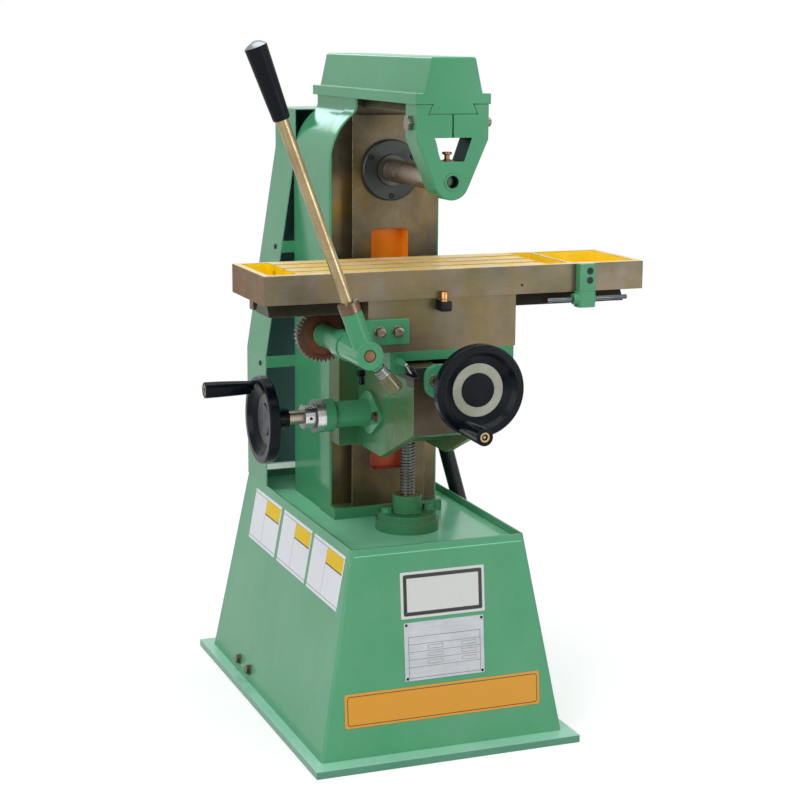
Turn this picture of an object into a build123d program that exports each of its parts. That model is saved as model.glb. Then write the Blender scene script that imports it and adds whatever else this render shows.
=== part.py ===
"""Hand-fed horizontal milling machine on a pedestal.

The origin is on the floor under the centre of the base plate. +X is the operator's right,
+Y runs from the operator to the belt guard, +Z is up. All sizes are in millimetres.
"""
from math import acos, atan2, copysign, cos, degrees, pi, radians, sin, tan
import os

from build123d import *

os.makedirs("parts", exist_ok=True)

# Clearances
RUNNING = 0.05        # radial play of a shaft in its bore
SLIDE = 0.10          # play between sliding flat faces
FREE = 0.40           # air between curved faces of pieces that move past each other
GAP = 2.0             # open gap between pieces that only pass each other

# Base plate and pedestal
BASE_WIDTH = 518.0
BASE_DEPTH = 782.0
BASE_THICK = 14.0
BASE_MARGIN_SIDE = 21.0
BASE_MARGIN_END = 35.0
TRAY_WIDTH = 338.0
TRAY_DEPTH = 636.0
PEDESTAL_HEIGHT = 379.0
LIP_HEIGHT = 13.0
LIP_THICK = 4.0
TRAY_FLOOR_THICK = 10.0
PEDESTAL_WALL = 6.0
PEDESTAL_CORNER_R = 5.0
WALL_BOLT_RISE = 23.5
WALL_BOLT_Y = 139.0
WALL_BOLT_SPACING = 70.0
FOOT_WIDTH = BASE_WIDTH - 2 * BASE_MARGIN_SIDE
FOOT_DEPTH = BASE_DEPTH - 2 * BASE_MARGIN_END
TRAY_TOP = BASE_THICK + PEDESTAL_HEIGHT
TRAY_FLOOR = TRAY_TOP - LIP_HEIGHT
WALL_BOLT_Z = BASE_THICK + WALL_BOLT_RISE

# Column
COLUMN_HALF = 107.5
COLUMN_FLANGE_PROUD = 3.5
COLUMN_FLANGE_DEPTH = 56.0
COLUMN_EDGE_R = 4.0
COLUMN_FACE = -34.0
COLUMN_DEPTH = 224.0
COLUMN_WALL = 14.0
COLUMN_HEIGHT = 799.0
SHOULDER_DROP = 121.0
SHOULDER_R = 115.0
NECK_HALF = 58.0
NECK_FILLET_R = 20.0
CAVITY_DROP = 219.0
WAYS_RISE = 22.0
WAYS_TOP_DROP = 30.0
WAYS_HALF = 75.0
WAYS_PROUD = 26.0
COLUMN_FOOT_PROUD = 2.0
DOVETAIL_LEAN = tan(radians(30))
POCKET_HALF = 37.0
POCKET_MARGIN = 69.0
POCKET_HEIGHT = 465.0
POCKET_DEPTH = 30.0
POCKET_CORNER_R = 9.0
COLUMN_FLANGE_HALF = COLUMN_HALF + COLUMN_FLANGE_PROUD
COLUMN_BACK = COLUMN_FACE + COLUMN_DEPTH
COLUMN_TOP = TRAY_FLOOR + COLUMN_HEIGHT
SHOULDER_Z = COLUMN_TOP - SHOULDER_DROP
CAVITY_TOP = COLUMN_TOP - CAVITY_DROP
WAYS_BOTTOM = TRAY_FLOOR + WAYS_RISE
WAYS_TOP = COLUMN_TOP - WAYS_TOP_DROP
WAYS_FACE = COLUMN_FACE - WAYS_PROUD
WAYS_ROOT_HALF = WAYS_HALF - WAYS_PROUD * DOVETAIL_LEAN
COLUMN_FOOT_FRONT = WAYS_FACE - COLUMN_FOOT_PROUD
POCKET_BOTTOM = WAYS_BOTTOM + POCKET_MARGIN

# Overarm and arbor support
ARM_REACH = 301.0
ARM_LENGTH = 544.0
ARM_FLANGE_HALF = 70.0
ARM_FLANGE_THICK = 18.0
ARM_FOOT_HALF = 54.0
ARM_TOP_HALF = 40.5
ARM_HEIGHT = 62.0
ARM_EDGE_R = 5.0
ARM_DOVETAIL_HALF = 45.0
ARM_DOVETAIL_ROOT_HALF = 38.0
ARM_DOVETAIL_HEIGHT = 16.5
SUPPORT_THICK = 53.0
SUPPORT_HALF = 67.0
SUPPORT_CHEEK = 60.0
SUPPORT_NOSE_R = 32.0
SUPPORT_SLIT = 3.0
SUPPORT_EDGE_R = 2.5
WINDOW_TOP_HALF = 36.0
WINDOW_BOTTOM_HALF = 21.5
WINDOW_TOP_DROP = 57.0
WINDOW_HEIGHT = 40.5
CLAMP_BOLT_R = 8.0
CLAMP_HEAD_FLATS = 24.0
CLAMP_HEAD = 9.6
CLAMP_BOLT_DROP = 32.0
CLAMP_BOLT_REACH = 14.0
ARM_FRONT = WAYS_FACE - ARM_REACH
ARM_DOVETAIL_Z = COLUMN_TOP - ARM_DOVETAIL_HEIGHT
SUPPORT_BACK = ARM_FRONT + SUPPORT_THICK

# Spindle, arbor and belt drive
SPINDLE_DROP = 132.5
SPINDLE_R = 25.0
SPINDLE_NOSE_R = 29.0
SPINDLE_NOSE_REACH = 14.0
SPINDLE_TAIL_R = 20.0
BEARING_R = 42.0
BEARING_WIDTH = 30.0
COVER_R = 57.0
COVER_THICK = 10.0
ARBOR_R = 11.0
ARBOR_SHANK = 70.0
ARBOR_JOURNAL_R = 10.0
ARBOR_RECESS = 12.0
COLLAR_R = 21.0
COLLAR_COUNT = 20
COLLAR_CHAMFER = 0.5
COLLAR_GAP = 0.2
COLLAR_ROOM = 16.0
BUSH_R = 15.0
BUSH_PROUD = 1.5
MOTOR_RISE = 165.0
MOTOR_ROOM = 16.5
MOTOR_LENGTH = 168.0
MOTOR_FIN_COUNT = 28
MOTOR_FIN_HEIGHT = 5.0
MOTOR_FIN_THICK = 3.0
MOTOR_FIN_END = 32.0
MOTOR_FLANGE_PROUD = 6.0
MOTOR_FLANGE_THICK = 12.0
MOTOR_PLATE_MARGIN = 12.0
MOTOR_PLATE_THICK = 12.0
MOTOR_SHAFT_R = 12.0
PULLEY_GAP = 24.0
PULLEY_STEP = 20.0
SPINDLE_STEPS = (70.0, 56.0, 42.0)
MOTOR_STEPS = (35.0, 49.0, 63.0)
GROOVE_DEPTH = 10.0
GROOVE_WIDTH = 11.0
GROOVE_FLARE = 1.5
BELT_STEP = 1
BELT_THICK = 8.0
SPINDLE_Z = COLUMN_TOP - SPINDLE_DROP
MOTOR_Z = TRAY_FLOOR + MOTOR_RISE
MOTOR_R = COLUMN_HALF - COLUMN_WALL - MOTOR_ROOM - MOTOR_FIN_HEIGHT
MOTOR_FLANGE_R = MOTOR_R + MOTOR_FLANGE_PROUD
MOTOR_PLATE_HALF = MOTOR_FLANGE_R + MOTOR_PLATE_MARGIN
PULLEY_START = COLUMN_BACK + PULLEY_GAP

# Belt guard
GUARD_SHEET = 2.0
GUARD_TOP_DROP = 29.0
GUARD_TOP_HALF = 105.0
GUARD_NECK = 80.0
GUARD_SKIRT = 267.0
GUARD_GAP = 0.2
BRACKET_RISES = (486.0, 255.0)
BRACKET_WIDTH = 23.0
BRACKET_THICK = 4.0
BRACKET_FOOT = 27.0
BRACKET_FLANGE = 42.0
TIE_BAR_RISE = 39.5
TIE_BAR_HEIGHT = 11.0
TIE_BAR_THICK = 10.0
GUARD_TOP = COLUMN_TOP - GUARD_TOP_DROP
GUARD_FLARE_TOP = GUARD_TOP - GUARD_NECK
GUARD_FLARE_BOTTOM = TRAY_TOP + GUARD_SKIRT
TIE_BAR_Z = TRAY_TOP + TIE_BAR_RISE

# Knee and its ways
KNEE_HALF = 72.0
KNEE_GAP = 28.0
KNEE_LENGTH = 280.0
KNEE_RISE = 328.0
KNEE_HEIGHT = 177.0
KNEE_NOSE_HEIGHT = 104.0
KNEE_BELLY_REACH = 44.0
KNEE_BELLY_R = 22.0
KNEE_EDGE_R = 3.0
SHELF_RISE = 35.0
SHELF_REACH = 28.0
KNEE_WALL = 14.0
KNEE_ROOF = 40.0
CROSS_WAYS_HEIGHT = 18.0
GIB_THICK = 6.0
CROSS_GROOVE_HALF = 20.0
CROSS_GROOVE_DEPTH = 24.0
KNEE_BACK = WAYS_FACE - KNEE_GAP
KNEE_FRONT = KNEE_BACK - KNEE_LENGTH
KNEE_TOP = TRAY_FLOOR + KNEE_RISE
KNEE_BOTTOM = KNEE_TOP - KNEE_HEIGHT
KNEE_NOSE_BOTTOM = KNEE_TOP - KNEE_NOSE_HEIGHT
KNEE_CAVITY_TOP = KNEE_TOP - KNEE_ROOF
SHELF_TOP = KNEE_BOTTOM + SHELF_RISE
CROSS_WAYS_HALF = KNEE_HALF
CROSS_WAYS_TOP = KNEE_TOP + CROSS_WAYS_HEIGHT
CROSS_WAYS_ROOT_HALF = CROSS_WAYS_HALF - CROSS_WAYS_HEIGHT * DOVETAIL_LEAN
CROSS_GROOVE_BOTTOM = KNEE_TOP - CROSS_GROOVE_DEPTH

# Elevating screw and crank
SCREW_REACH = 100.0
SCREW_R = 14.0
SCREW_TAIL = 130.0
SCREW_COLLAR_R = 24.0
SCREW_COLLAR_THICK = 8.0
NUT_R = 21.0
NUT_HUB_R = 27.5
NUT_HUB_HEIGHT = 33.0
NUT_RING_R = 56.0
NUT_RING_HEIGHT = 13.0
NUT_FOOT_R = 60.0
NUT_FOOT_HEIGHT = 20.0
NUT_BOLT_RADIUS = 42.0
CRANK_DROP = 100.0
CRANK_SHAFT_R = 12.7
CRANK_WHEEL_REACH = 221.0
BEVEL_R = 24.0
BEVEL_FACE = 11.0
BEVEL_HUB = 4.0
BEVEL_BORE = 8.0
BEVEL_TEETH = 20
BEVEL_ADDENDUM = 0.8
BEVEL_DEDENDUM = 1.05
BEVEL_BACKLASH = 0.5
HOUSING_R = 24.6
HOUSING_END_R = 30.5
HOUSING_END_LENGTH = 19.0
HOUSING_FLANGE_THICK = 8.0
HOUSING_FLANGE_R = 40.0
HOUSING_BOLT_SPACING = 96.0
DIAL_REACH = 98.0
DIAL_R = 31.3
DIAL_LENGTH = 17.0
DIAL_STEP_R = 22.3
DIAL_STEP_LENGTH = 21.0
SCREW_Y = WAYS_FACE - SCREW_REACH
SCREW_BOTTOM = TRAY_FLOOR - SCREW_TAIL
NUT_FOOT_TOP = TRAY_FLOOR + NUT_FOOT_HEIGHT
NUT_RING_TOP = NUT_FOOT_TOP + NUT_RING_HEIGHT
NUT_HUB_TOP = NUT_RING_TOP + NUT_HUB_HEIGHT
KNEE_BELLY_Y = SCREW_Y - KNEE_BELLY_REACH
SHELF_FRONT = SCREW_Y - SHELF_REACH
CRANK_Z = KNEE_TOP - CRANK_DROP
CRANK_WHEEL_X = -KNEE_HALF - CRANK_WHEEL_REACH
DIAL_X = -KNEE_HALF - DIAL_REACH
HOUSING_X = -KNEE_HALF - HOUSING_FLANGE_THICK

# Cross feed
CROSS_DROP = 4.5
CROSS_SCREW_R = 9.0
CROSS_WHEEL_REACH = 130.0
CROSS_BRACKET_THICK = 12.0
CROSS_BRACKET_HALF = 53.0
CROSS_BRACKET_RISE = 23.0
CROSS_BRACKET_HEIGHT = 59.0
CROSS_BRACKET_CORNER_R = 22.0
CROSS_BRACKET_BOSS_R = 24.0
CROSS_BRACKET_BOSS = 15.0
CROSS_BRACKET_SPACING = 76.0
CROSS_DIAL_R = 30.0
CROSS_DIAL_LENGTH = 24.0
CROSS_NUT_LENGTH = 44.0
CROSS_Z = KNEE_TOP - CROSS_DROP
CROSS_WHEEL_Y = KNEE_FRONT - CROSS_WHEEL_REACH

# Handwheels
WHEEL_R = 80.0
WHEEL_RIM_DEPTH = 20.0
WHEEL_RIM_WIDTH = 20.0
WHEEL_RIM_SLOPE = 7.0
WHEEL_RIM_ROUND = 3.0
WHEEL_WEB_SINK = 16.0
WHEEL_RING_R = 47.0
WHEEL_CAP_R = 29.0
WHEEL_CAP_SINK = 12.0
WHEEL_HUB_R = 17.0
WHEEL_HUB_FLARE = 3.0
WHEEL_HUB_REACH = 57.0
HANDLE_RADIUS = 67.0
HANDLE_LENGTH = 86.0
HANDLE_BASE_R = 12.2
HANDLE_END_R = 14.9
HANDLE_SWELL = 0.5
HANDLE_END_ROUND = 2.0
HANDLE_PIN_R = 5.0
HANDLE_RECESS = 3.0
HANDLE_RECESS_RIM = 4.0
KNEE_HANDLE_ANGLE = 52.0
CROSS_HANDLE_ANGLE = 242.5

# Saddle
SADDLE_HALF = 141.0
SADDLE_GAP = 92.0
SADDLE_DEPTH = 174.0
SADDLE_BED_RISE = 40.0
SADDLE_BLOCK = 94.0
SADDLE_LOWER_LEFT = 100.0
SADDLE_LOWER_RIGHT = 138.0
SADDLE_CORNER_R = 18.0
SADDLE_SLOT_AIR = 5.0
SADDLE_BACK = WAYS_FACE - SADDLE_GAP
SADDLE_FRONT = SADDLE_BACK - SADDLE_DEPTH
SADDLE_BED = KNEE_TOP + SADDLE_BED_RISE

# Table
TABLE_LENGTH = 724.0
TABLE_DEPTH = 190.0
TABLE_THICK = 51.0
TABLE_X = 28.5
TABLE_OVERHANG = 10.0
TABLE_EDGE = 1.0
TABLE_WAYS_BACK = 74.0
TABLE_WAYS_HALF = 38.0
TABLE_WAYS_HEIGHT = 26.0
TABLE_WAYS_INSET = 20.0
SLOT_COUNT = 3
SLOT_SPACING = 50.0
SLOT_NECK = 12.0
SLOT_NECK_DEPTH = 12.0
SLOT_WIDTH = 20.0
SLOT_HEIGHT = 9.0
PAN_RIM = 12.0
PAN_CORNER_R = 8.0
LEFT_PAN = 52.0
CHANNEL_PAN = 44.0
RIGHT_PAN = 126.0
PAN_BRIDGE = 8.0
PAN_DEPTH = SLOT_NECK_DEPTH + SLOT_HEIGHT
TABLE_BOTTOM = SADDLE_BED + SADDLE_BLOCK
TABLE_TOP = TABLE_BOTTOM + TABLE_THICK
TABLE_LEFT = TABLE_X - TABLE_LENGTH / 2
TABLE_RIGHT = TABLE_X + TABLE_LENGTH / 2
TABLE_FRONT = SADDLE_FRONT - TABLE_OVERHANG
TABLE_MID_Y = TABLE_FRONT + TABLE_DEPTH / 2
TABLE_WAYS_Y = TABLE_FRONT + TABLE_WAYS_BACK
TABLE_WAYS_BOTTOM = TABLE_BOTTOM - TABLE_WAYS_HEIGHT
TABLE_WAYS_ROOT_HALF = TABLE_WAYS_HALF - TABLE_WAYS_HEIGHT * DOVETAIL_LEAN

# Stops
STOP_INSET = 120.0
STOP_WIDTH = 31.0
STOP_THICK = 16.0
STOP_FOOT_WIDTH = 34.0
STOP_FOOT_THICK = 21.0
STOP_FOOT_HEIGHT = 28.0
STOP_FOOT_CHAMFER = 4.0
STOP_SLEEVE_R = 10.0
STOP_SLEEVE_REACH = 8.0
STOP_DROP = 27.0
STOP_ROD_R = 4.2
STOP_ROD_LENGTH = 160.0
STOP_ROD_SHIFT = 2.0
STOP_ROD_DROP = 12.0
DOG_WIDTH = 24.0
DOG_HEIGHT = 26.0
DOG_REACH = 26.0
DOG_HEX = 13.0
DOG_HEX_HEIGHT = 15.0
STOP_X = TABLE_RIGHT - STOP_INSET

# Lever feed
FEED_REACH = 41.0
GEAR_MODULE = 2.5
GEAR_TEETH = 38
GEAR_WIDTH = 20.0
GEAR_BACK = 140.0
GEAR_BACKLASH = 0.35
GEAR_HUB_R = 23.0
GEAR_RIM = 6.4
GEAR_WEB_SINK = 3.0
PRESSURE_ANGLE = radians(20)
DEDENDUM = 1.25
RACK_DROP = 28.5
RACK_WIDTH = 22.0
RACK_SIDE_AIR = 4.0
FEED_SHAFT_R = 11.0
FEED_SLEEVE_R = 21.0
FEED_COLLAR_R = 26.0
FEED_COLLAR_PROUD = 18.0
FEED_COLLAR_LENGTH = 36.0
FEED_PLATE_LENGTH = 112.0
FEED_PLATE_THICK = 14.0
FEED_PLATE_HEIGHT = 44.0
FEED_PLATE_DROP = 33.0
FEED_BOLT_INSET = 37.5
FEED_BOLT_SPACING = 33.0
LEVER_LEAN = 20.45
LEVER_HUB_R = 24.0
LEVER_HUB_LENGTH = 100.0
LEVER_INSET = 19.0
LEVER_BOSS_R = 18.0
LEVER_BOSS_REACH = 78.0
LEVER_COLLAR_R = 18.5
LEVER_COLLAR_LENGTH = 18.0
LEVER_ROD_R = 10.0
LEVER_ROD_START = 30.0
LEVER_ROD_END = 520.0
GRIP_START = 420.0
GRIP_END = 553.0
GRIP_BASE_R = 14.7
GRIP_TOP_R = 19.0
GRIP_CHAMFER = 1.5
PLUNGER_ANGLE = -49.0
PLUNGER_STEM_R = 5.0
PLUNGER_DEPTH = 9.0
PLUNGER_BOSS_R = 9.5
PLUNGER_BOSS_REACH = 34.0
PLUNGER_RING_R = 11.8
PLUNGER_RING_LENGTH = 16.0
PLUNGER_GROOVE = 1.2
PLUNGER_BODY_R = 13.5
PLUNGER_BODY_LENGTH = 36.0
PLUNGER_END_ROUND = 5.0
PITCH_R = GEAR_MODULE * GEAR_TEETH / 2
GEAR_ROOT_R = PITCH_R - DEDENDUM * GEAR_MODULE
GEAR_Y = TABLE_FRONT + GEAR_BACK
RACK_PITCH_Z = TABLE_BOTTOM - RACK_DROP
FEED_X = -SADDLE_HALF - FEED_REACH
FEED_Z = RACK_PITCH_Z - PITCH_R
FEED_COLLAR_FRONT = SADDLE_FRONT - FEED_COLLAR_PROUD
FEED_PLATE_RIGHT = FEED_X + FEED_PLATE_LENGTH
FEED_PLATE_TOP = TABLE_BOTTOM - FEED_PLATE_DROP
FEED_BOLT_X = FEED_PLATE_RIGHT - FEED_BOLT_INSET
LEVER_HUB_FRONT = FEED_COLLAR_FRONT - GAP - LEVER_HUB_LENGTH
LEVER_Y = LEVER_HUB_FRONT + LEVER_INSET

# Conduit
CONDUIT_R = 15.0
CONDUIT_WALL = 3.5
CONDUIT_Y = 50.0
CONDUIT_TOP_REACH = 30.5
CONDUIT_TOP_RISE = 182.0
CONDUIT_BOTTOM_REACH = 36.0
CONDUIT_BOTTOM_DROP = 53.0
GLAND_R = 19.0
GLAND_SOCKET = 24.0

# Fasteners
BOLT_FLATS = 18.0
BOLT_HEAD = 7.5
WASHER_R = 11.0
WASHER_THICK = 2.0


def facing_front(y):
    """Sketch plane across the machine at depth y; extrusions run towards the operator."""
    return Plane.XZ.offset(-y)


def facing_right(x):
    """Sketch plane along the machine at x; extrusions run to the operator's right."""
    return Plane.YZ.offset(x)


def level(z):
    """Horizontal sketch plane at height z; extrusions run up."""
    return Plane.XY.offset(z)


def axial_plane(point, outward, radial):
    """Plane whose x axis runs outward along a turned piece's axis and y axis along its radius."""
    return Plane(origin=point, x_dir=outward, z_dir=Vector(*outward).cross(Vector(*radial)))


def pedestal_half_width(z):
    """Half width of the pedestal's tapered side at height z."""
    share = (z - BASE_THICK) / PEDESTAL_HEIGHT
    return (FOOT_WIDTH + (TRAY_WIDTH - FOOT_WIDTH) * share) / 2


def pedestal_side(side, y, z):
    """Sketch plane on the pedestal's left (-1) or right (+1) wall."""
    lean = (FOOT_WIDTH - TRAY_WIDTH) / 2
    normal = Vector(side * PEDESTAL_HEIGHT, 0, lean).normalized()
    return Plane(origin=(side * pedestal_half_width(z), y, z), x_dir=(0, side, 0), z_dir=normal)


def guard_half(z, inset=0.0):
    """Half width of the belt guard at height z, measured to its skin less the inset."""
    low = TRAY_WIDTH / 2
    if z <= GUARD_FLARE_BOTTOM:
        return low - inset
    if z >= GUARD_FLARE_TOP:
        return GUARD_TOP_HALF - inset
    share = (z - GUARD_FLARE_BOTTOM) / (GUARD_FLARE_TOP - GUARD_FLARE_BOTTOM)
    return low + (GUARD_TOP_HALF - low) * share - inset


def guard_outline(bottom, top, inset):
    """Flared outline of the belt guard, seen from the front."""
    heights = (bottom, GUARD_FLARE_BOTTOM, GUARD_FLARE_TOP, top)
    right = [(guard_half(z, inset), z) for z in heights]
    left = [(-x, z) for x, z in reversed(right)]
    Polygon(*right, *left)


def dovetail(middle, root_half, half, root, top):
    """Section whose half width changes evenly from its root to its top."""
    Polygon(
        (middle - root_half, root),
        (middle + root_half, root),
        (middle + half, top),
        (middle - half, top),
    )


def dovetail_slot(middle, root_half, half, root, top, air, left=0.0, right=0.0):
    """Room for a dovetail: play on both flanks, air past its top, more room for a gib at one side."""
    past = top + copysign(air, top - root)
    Polygon(
        (middle - root_half - SLIDE - left, root),
        (middle - half - SLIDE - left, top),
        (middle - half - SLIDE - left, past),
        (middle + half + SLIDE + right, past),
        (middle + half + SLIDE + right, top),
        (middle + root_half + SLIDE + right, root),
    )


def save(piece, name):
    """Label a finished piece and write it to its own file."""
    piece.part.label = name
    export_step(piece.part, f"parts/{name}.step")


# Base plate under the pedestal, with a slim welded margin all round
with BuildPart() as base_plate:
    with BuildSketch(level(0)):
        Rectangle(BASE_WIDTH, BASE_DEPTH)
    extrude(amount=BASE_THICK)
save(base_plate, "base_plate")

# Pedestal: a hollow tapered box whose top is a shallow lipped tray
with BuildPart() as pedestal:
    with BuildSketch(level(BASE_THICK)):
        Rectangle(FOOT_WIDTH, FOOT_DEPTH)
    with BuildSketch(level(TRAY_TOP)):
        Rectangle(TRAY_WIDTH, TRAY_DEPTH)
    loft()
    corners = pedestal.edges().filter_by(lambda e: abs(e.tangent_at(0.5).Z) > 0.5)
    fillet(corners, PEDESTAL_CORNER_R)
    with BuildSketch(level(BASE_THICK)):
        Rectangle(FOOT_WIDTH - 2 * PEDESTAL_WALL, FOOT_DEPTH - 2 * PEDESTAL_WALL)
    with BuildSketch(level(TRAY_FLOOR - TRAY_FLOOR_THICK)):
        Rectangle(TRAY_WIDTH - 2 * PEDESTAL_WALL, TRAY_DEPTH - 2 * PEDESTAL_WALL)
    loft(mode=Mode.SUBTRACT)
    with BuildSketch(level(TRAY_FLOOR)):
        Rectangle(TRAY_WIDTH - 2 * LIP_THICK, TRAY_DEPTH - 2 * LIP_THICK)
    extrude(amount=LIP_HEIGHT, mode=Mode.SUBTRACT)
    with BuildSketch(level(TRAY_FLOOR)):
        with Locations((0, SCREW_Y)):
            Circle(NUT_R)
    extrude(amount=-TRAY_FLOOR_THICK, mode=Mode.SUBTRACT)
save(pedestal, "pedestal")


def column_profile(half):
    """Front view of the column: straight sides, round shoulders, narrow neck."""
    reach = half - NECK_HALF
    turn = degrees(acos(1 - reach / (SHOULDER_R + NECK_FILLET_R)))
    with BuildLine(mode=Mode.PRIVATE) as side:
        wall = Line((half, TRAY_FLOOR), (half, SHOULDER_Z))
        shoulder = JernArc(wall @ 1, (0, 1), SHOULDER_R, turn)
        throat = JernArc(shoulder @ 1, shoulder % 1, NECK_FILLET_R, -turn)
        Line(throat @ 1, (NECK_HALF, COLUMN_TOP))
        Line((NECK_HALF, COLUMN_TOP), (0, COLUMN_TOP))
        Line((0, COLUMN_TOP), (0, TRAY_FLOOR))
        Line((0, TRAY_FLOOR), (half, TRAY_FLOOR))
    return make_face(side.edges(), mode=Mode.PRIVATE)


# Column: hollow casting with a front flange, dovetail ways, and a neck that carries the overarm
with BuildPart() as column:
    with BuildSketch(facing_front(COLUMN_BACK)):
        half_view = column_profile(COLUMN_HALF)
        add(half_view)
        mirror(half_view, about=Plane.YZ)
    extrude(amount=COLUMN_BACK - COLUMN_FACE)
    with BuildSketch(facing_front(COLUMN_FACE + COLUMN_FLANGE_DEPTH)):
        half_flange = column_profile(COLUMN_FLANGE_HALF)
        add(half_flange)
        mirror(half_flange, about=Plane.YZ)
    extrude(amount=COLUMN_FLANGE_DEPTH)
    flange_edges = column.faces().sort_by(Axis.Y)[0].edges()
    fillet(flange_edges.filter_by(lambda e: abs(e.tangent_at(0.5).Z) > 0.1), COLUMN_EDGE_R)
    with BuildSketch(level(WAYS_BOTTOM)):
        dovetail(0, WAYS_ROOT_HALF, WAYS_HALF, COLUMN_FACE, WAYS_FACE)
    extrude(amount=WAYS_TOP - WAYS_BOTTOM)
    with BuildSketch(level(TRAY_FLOOR)):
        with Locations((0, COLUMN_FOOT_FRONT)):
            Rectangle(
                2 * COLUMN_FLANGE_HALF,
                COLUMN_FACE + COLUMN_EDGE_R - COLUMN_FOOT_FRONT,
                align=(Align.CENTER, Align.MIN),
            )
    extrude(amount=WAYS_RISE)
    with BuildSketch(facing_front(WAYS_FACE)):
        with Locations((0, POCKET_BOTTOM + POCKET_HEIGHT / 2)):
            RectangleRounded(2 * POCKET_HALF, POCKET_HEIGHT, POCKET_CORNER_R)
    extrude(amount=-POCKET_DEPTH, mode=Mode.SUBTRACT)
    with BuildSketch(level(TRAY_FLOOR)):
        with Locations((0, (COLUMN_FACE + COLUMN_BACK) / 2 + COLUMN_WALL / 2)):
            Rectangle(2 * (COLUMN_HALF - COLUMN_WALL), COLUMN_BACK - COLUMN_FACE - 3 * COLUMN_WALL)
    extrude(amount=CAVITY_TOP - TRAY_FLOOR, mode=Mode.SUBTRACT)
    with BuildSketch(facing_front(COLUMN_BACK)):
        with Locations((0, MOTOR_Z)):
            Rectangle(2 * MOTOR_FLANGE_R + 2 * FREE, 2 * MOTOR_FLANGE_R + 2 * FREE)
    extrude(amount=2 * COLUMN_WALL, mode=Mode.SUBTRACT)
    with BuildSketch(facing_front(COLUMN_BACK)):
        with Locations((0, SPINDLE_Z)):
            Circle(BEARING_R + RUNNING)
    extrude(amount=COLUMN_BACK - WAYS_FACE, mode=Mode.SUBTRACT)
    with BuildSketch(facing_front(COLUMN_BACK)):
        dovetail_slot(0, ARM_DOVETAIL_ROOT_HALF, ARM_DOVETAIL_HALF, COLUMN_TOP, ARM_DOVETAIL_Z, FREE)
    extrude(amount=COLUMN_BACK - WAYS_FACE, mode=Mode.SUBTRACT)
save(column, "column")

# Overarm: flanged casting of tapering section with a dovetail rail beneath
with BuildPart() as overarm:
    with BuildSketch(facing_front(ARM_FRONT + ARM_LENGTH)):
        with Locations((0, COLUMN_TOP)):
            Rectangle(2 * ARM_FLANGE_HALF, ARM_FLANGE_THICK, align=(Align.CENTER, Align.MIN))
        arm_foot = COLUMN_TOP + ARM_FLANGE_THICK
        dovetail(0, ARM_FOOT_HALF, ARM_TOP_HALF, arm_foot, arm_foot + ARM_HEIGHT)
        dovetail(0, ARM_DOVETAIL_ROOT_HALF, ARM_DOVETAIL_HALF, COLUMN_TOP, ARM_DOVETAIL_Z)
    extrude(amount=ARM_LENGTH)
    fillet(overarm.faces().sort_by(Axis.Z)[-1].edges(), ARM_EDGE_R)
save(overarm, "overarm")

# Arbor support: cheeked plate that tapers to a round nose, split so that it clamps the rail
with BuildPart() as arbor_support:
    cheek_z = COLUMN_TOP - SUPPORT_CHEEK
    with BuildSketch(facing_front(SUPPORT_BACK)) as support_view:
        with Locations((0, SPINDLE_Z)):
            Circle(SUPPORT_NOSE_R)
        with Locations((0, cheek_z)):
            Rectangle(2 * SUPPORT_HALF, SUPPORT_CHEEK, align=(Align.CENTER, Align.MIN))
        make_hull(support_view.edges())
    extrude(amount=SUPPORT_THICK)
    face_edges = arbor_support.faces().sort_by(Axis.Y)[0].edges()
    fillet(face_edges.filter_by(lambda e: e.center().Z < COLUMN_TOP - SUPPORT_EDGE_R), SUPPORT_EDGE_R)
    with BuildSketch(facing_front(SUPPORT_BACK)):
        dovetail_slot(0, ARM_DOVETAIL_ROOT_HALF, ARM_DOVETAIL_HALF, COLUMN_TOP, ARM_DOVETAIL_Z, SLIDE)
        window_top = COLUMN_TOP - WINDOW_TOP_DROP
        dovetail(0, WINDOW_TOP_HALF, WINDOW_BOTTOM_HALF, window_top, window_top - WINDOW_HEIGHT)
        with Locations((0, window_top)):
            Rectangle(SUPPORT_SLIT, WINDOW_TOP_DROP, align=(Align.CENTER, Align.MIN))
        with Locations((0, SPINDLE_Z)):
            Circle(BUSH_R + RUNNING)
    extrude(amount=SUPPORT_THICK, mode=Mode.SUBTRACT)
    with BuildSketch(facing_right(-SUPPORT_HALF)):
        with Locations((ARM_FRONT + SUPPORT_THICK / 2, COLUMN_TOP - CLAMP_BOLT_DROP)):
            Circle(CLAMP_BOLT_R + RUNNING)
    extrude(amount=2 * SUPPORT_HALF, mode=Mode.SUBTRACT)
save(arbor_support, "arbor_support")

# Bush in the support's nose
with BuildPart() as support_bush:
    with BuildSketch(facing_front(SUPPORT_BACK)):
        with Locations((0, SPINDLE_Z)):
            Circle(BUSH_R)
            Circle(ARBOR_JOURNAL_R + RUNNING, mode=Mode.SUBTRACT)
    extrude(amount=SUPPORT_THICK + BUSH_PROUD)
save(support_bush, "support_bush")

# Clamp bolt across the support's split
with BuildPart() as support_clamp_bolt:
    bolt_seat = (ARM_FRONT + SUPPORT_THICK / 2, COLUMN_TOP - CLAMP_BOLT_DROP)
    with BuildSketch(facing_right(-SUPPORT_HALF)):
        with Locations(bolt_seat):
            RegularPolygon(CLAMP_HEAD_FLATS / 2, 6, major_radius=False)
    extrude(amount=-CLAMP_HEAD)
    with BuildSketch(facing_right(-SUPPORT_HALF)):
        with Locations(bolt_seat):
            Circle(CLAMP_BOLT_R)
    extrude(amount=2 * SUPPORT_HALF + CLAMP_BOLT_REACH)
    chamfer(support_clamp_bolt.edges().sort_by(Axis.X)[-1], CLAMP_BOLT_R / 5)
save(support_clamp_bolt, "support_clamp_bolt")

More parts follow.
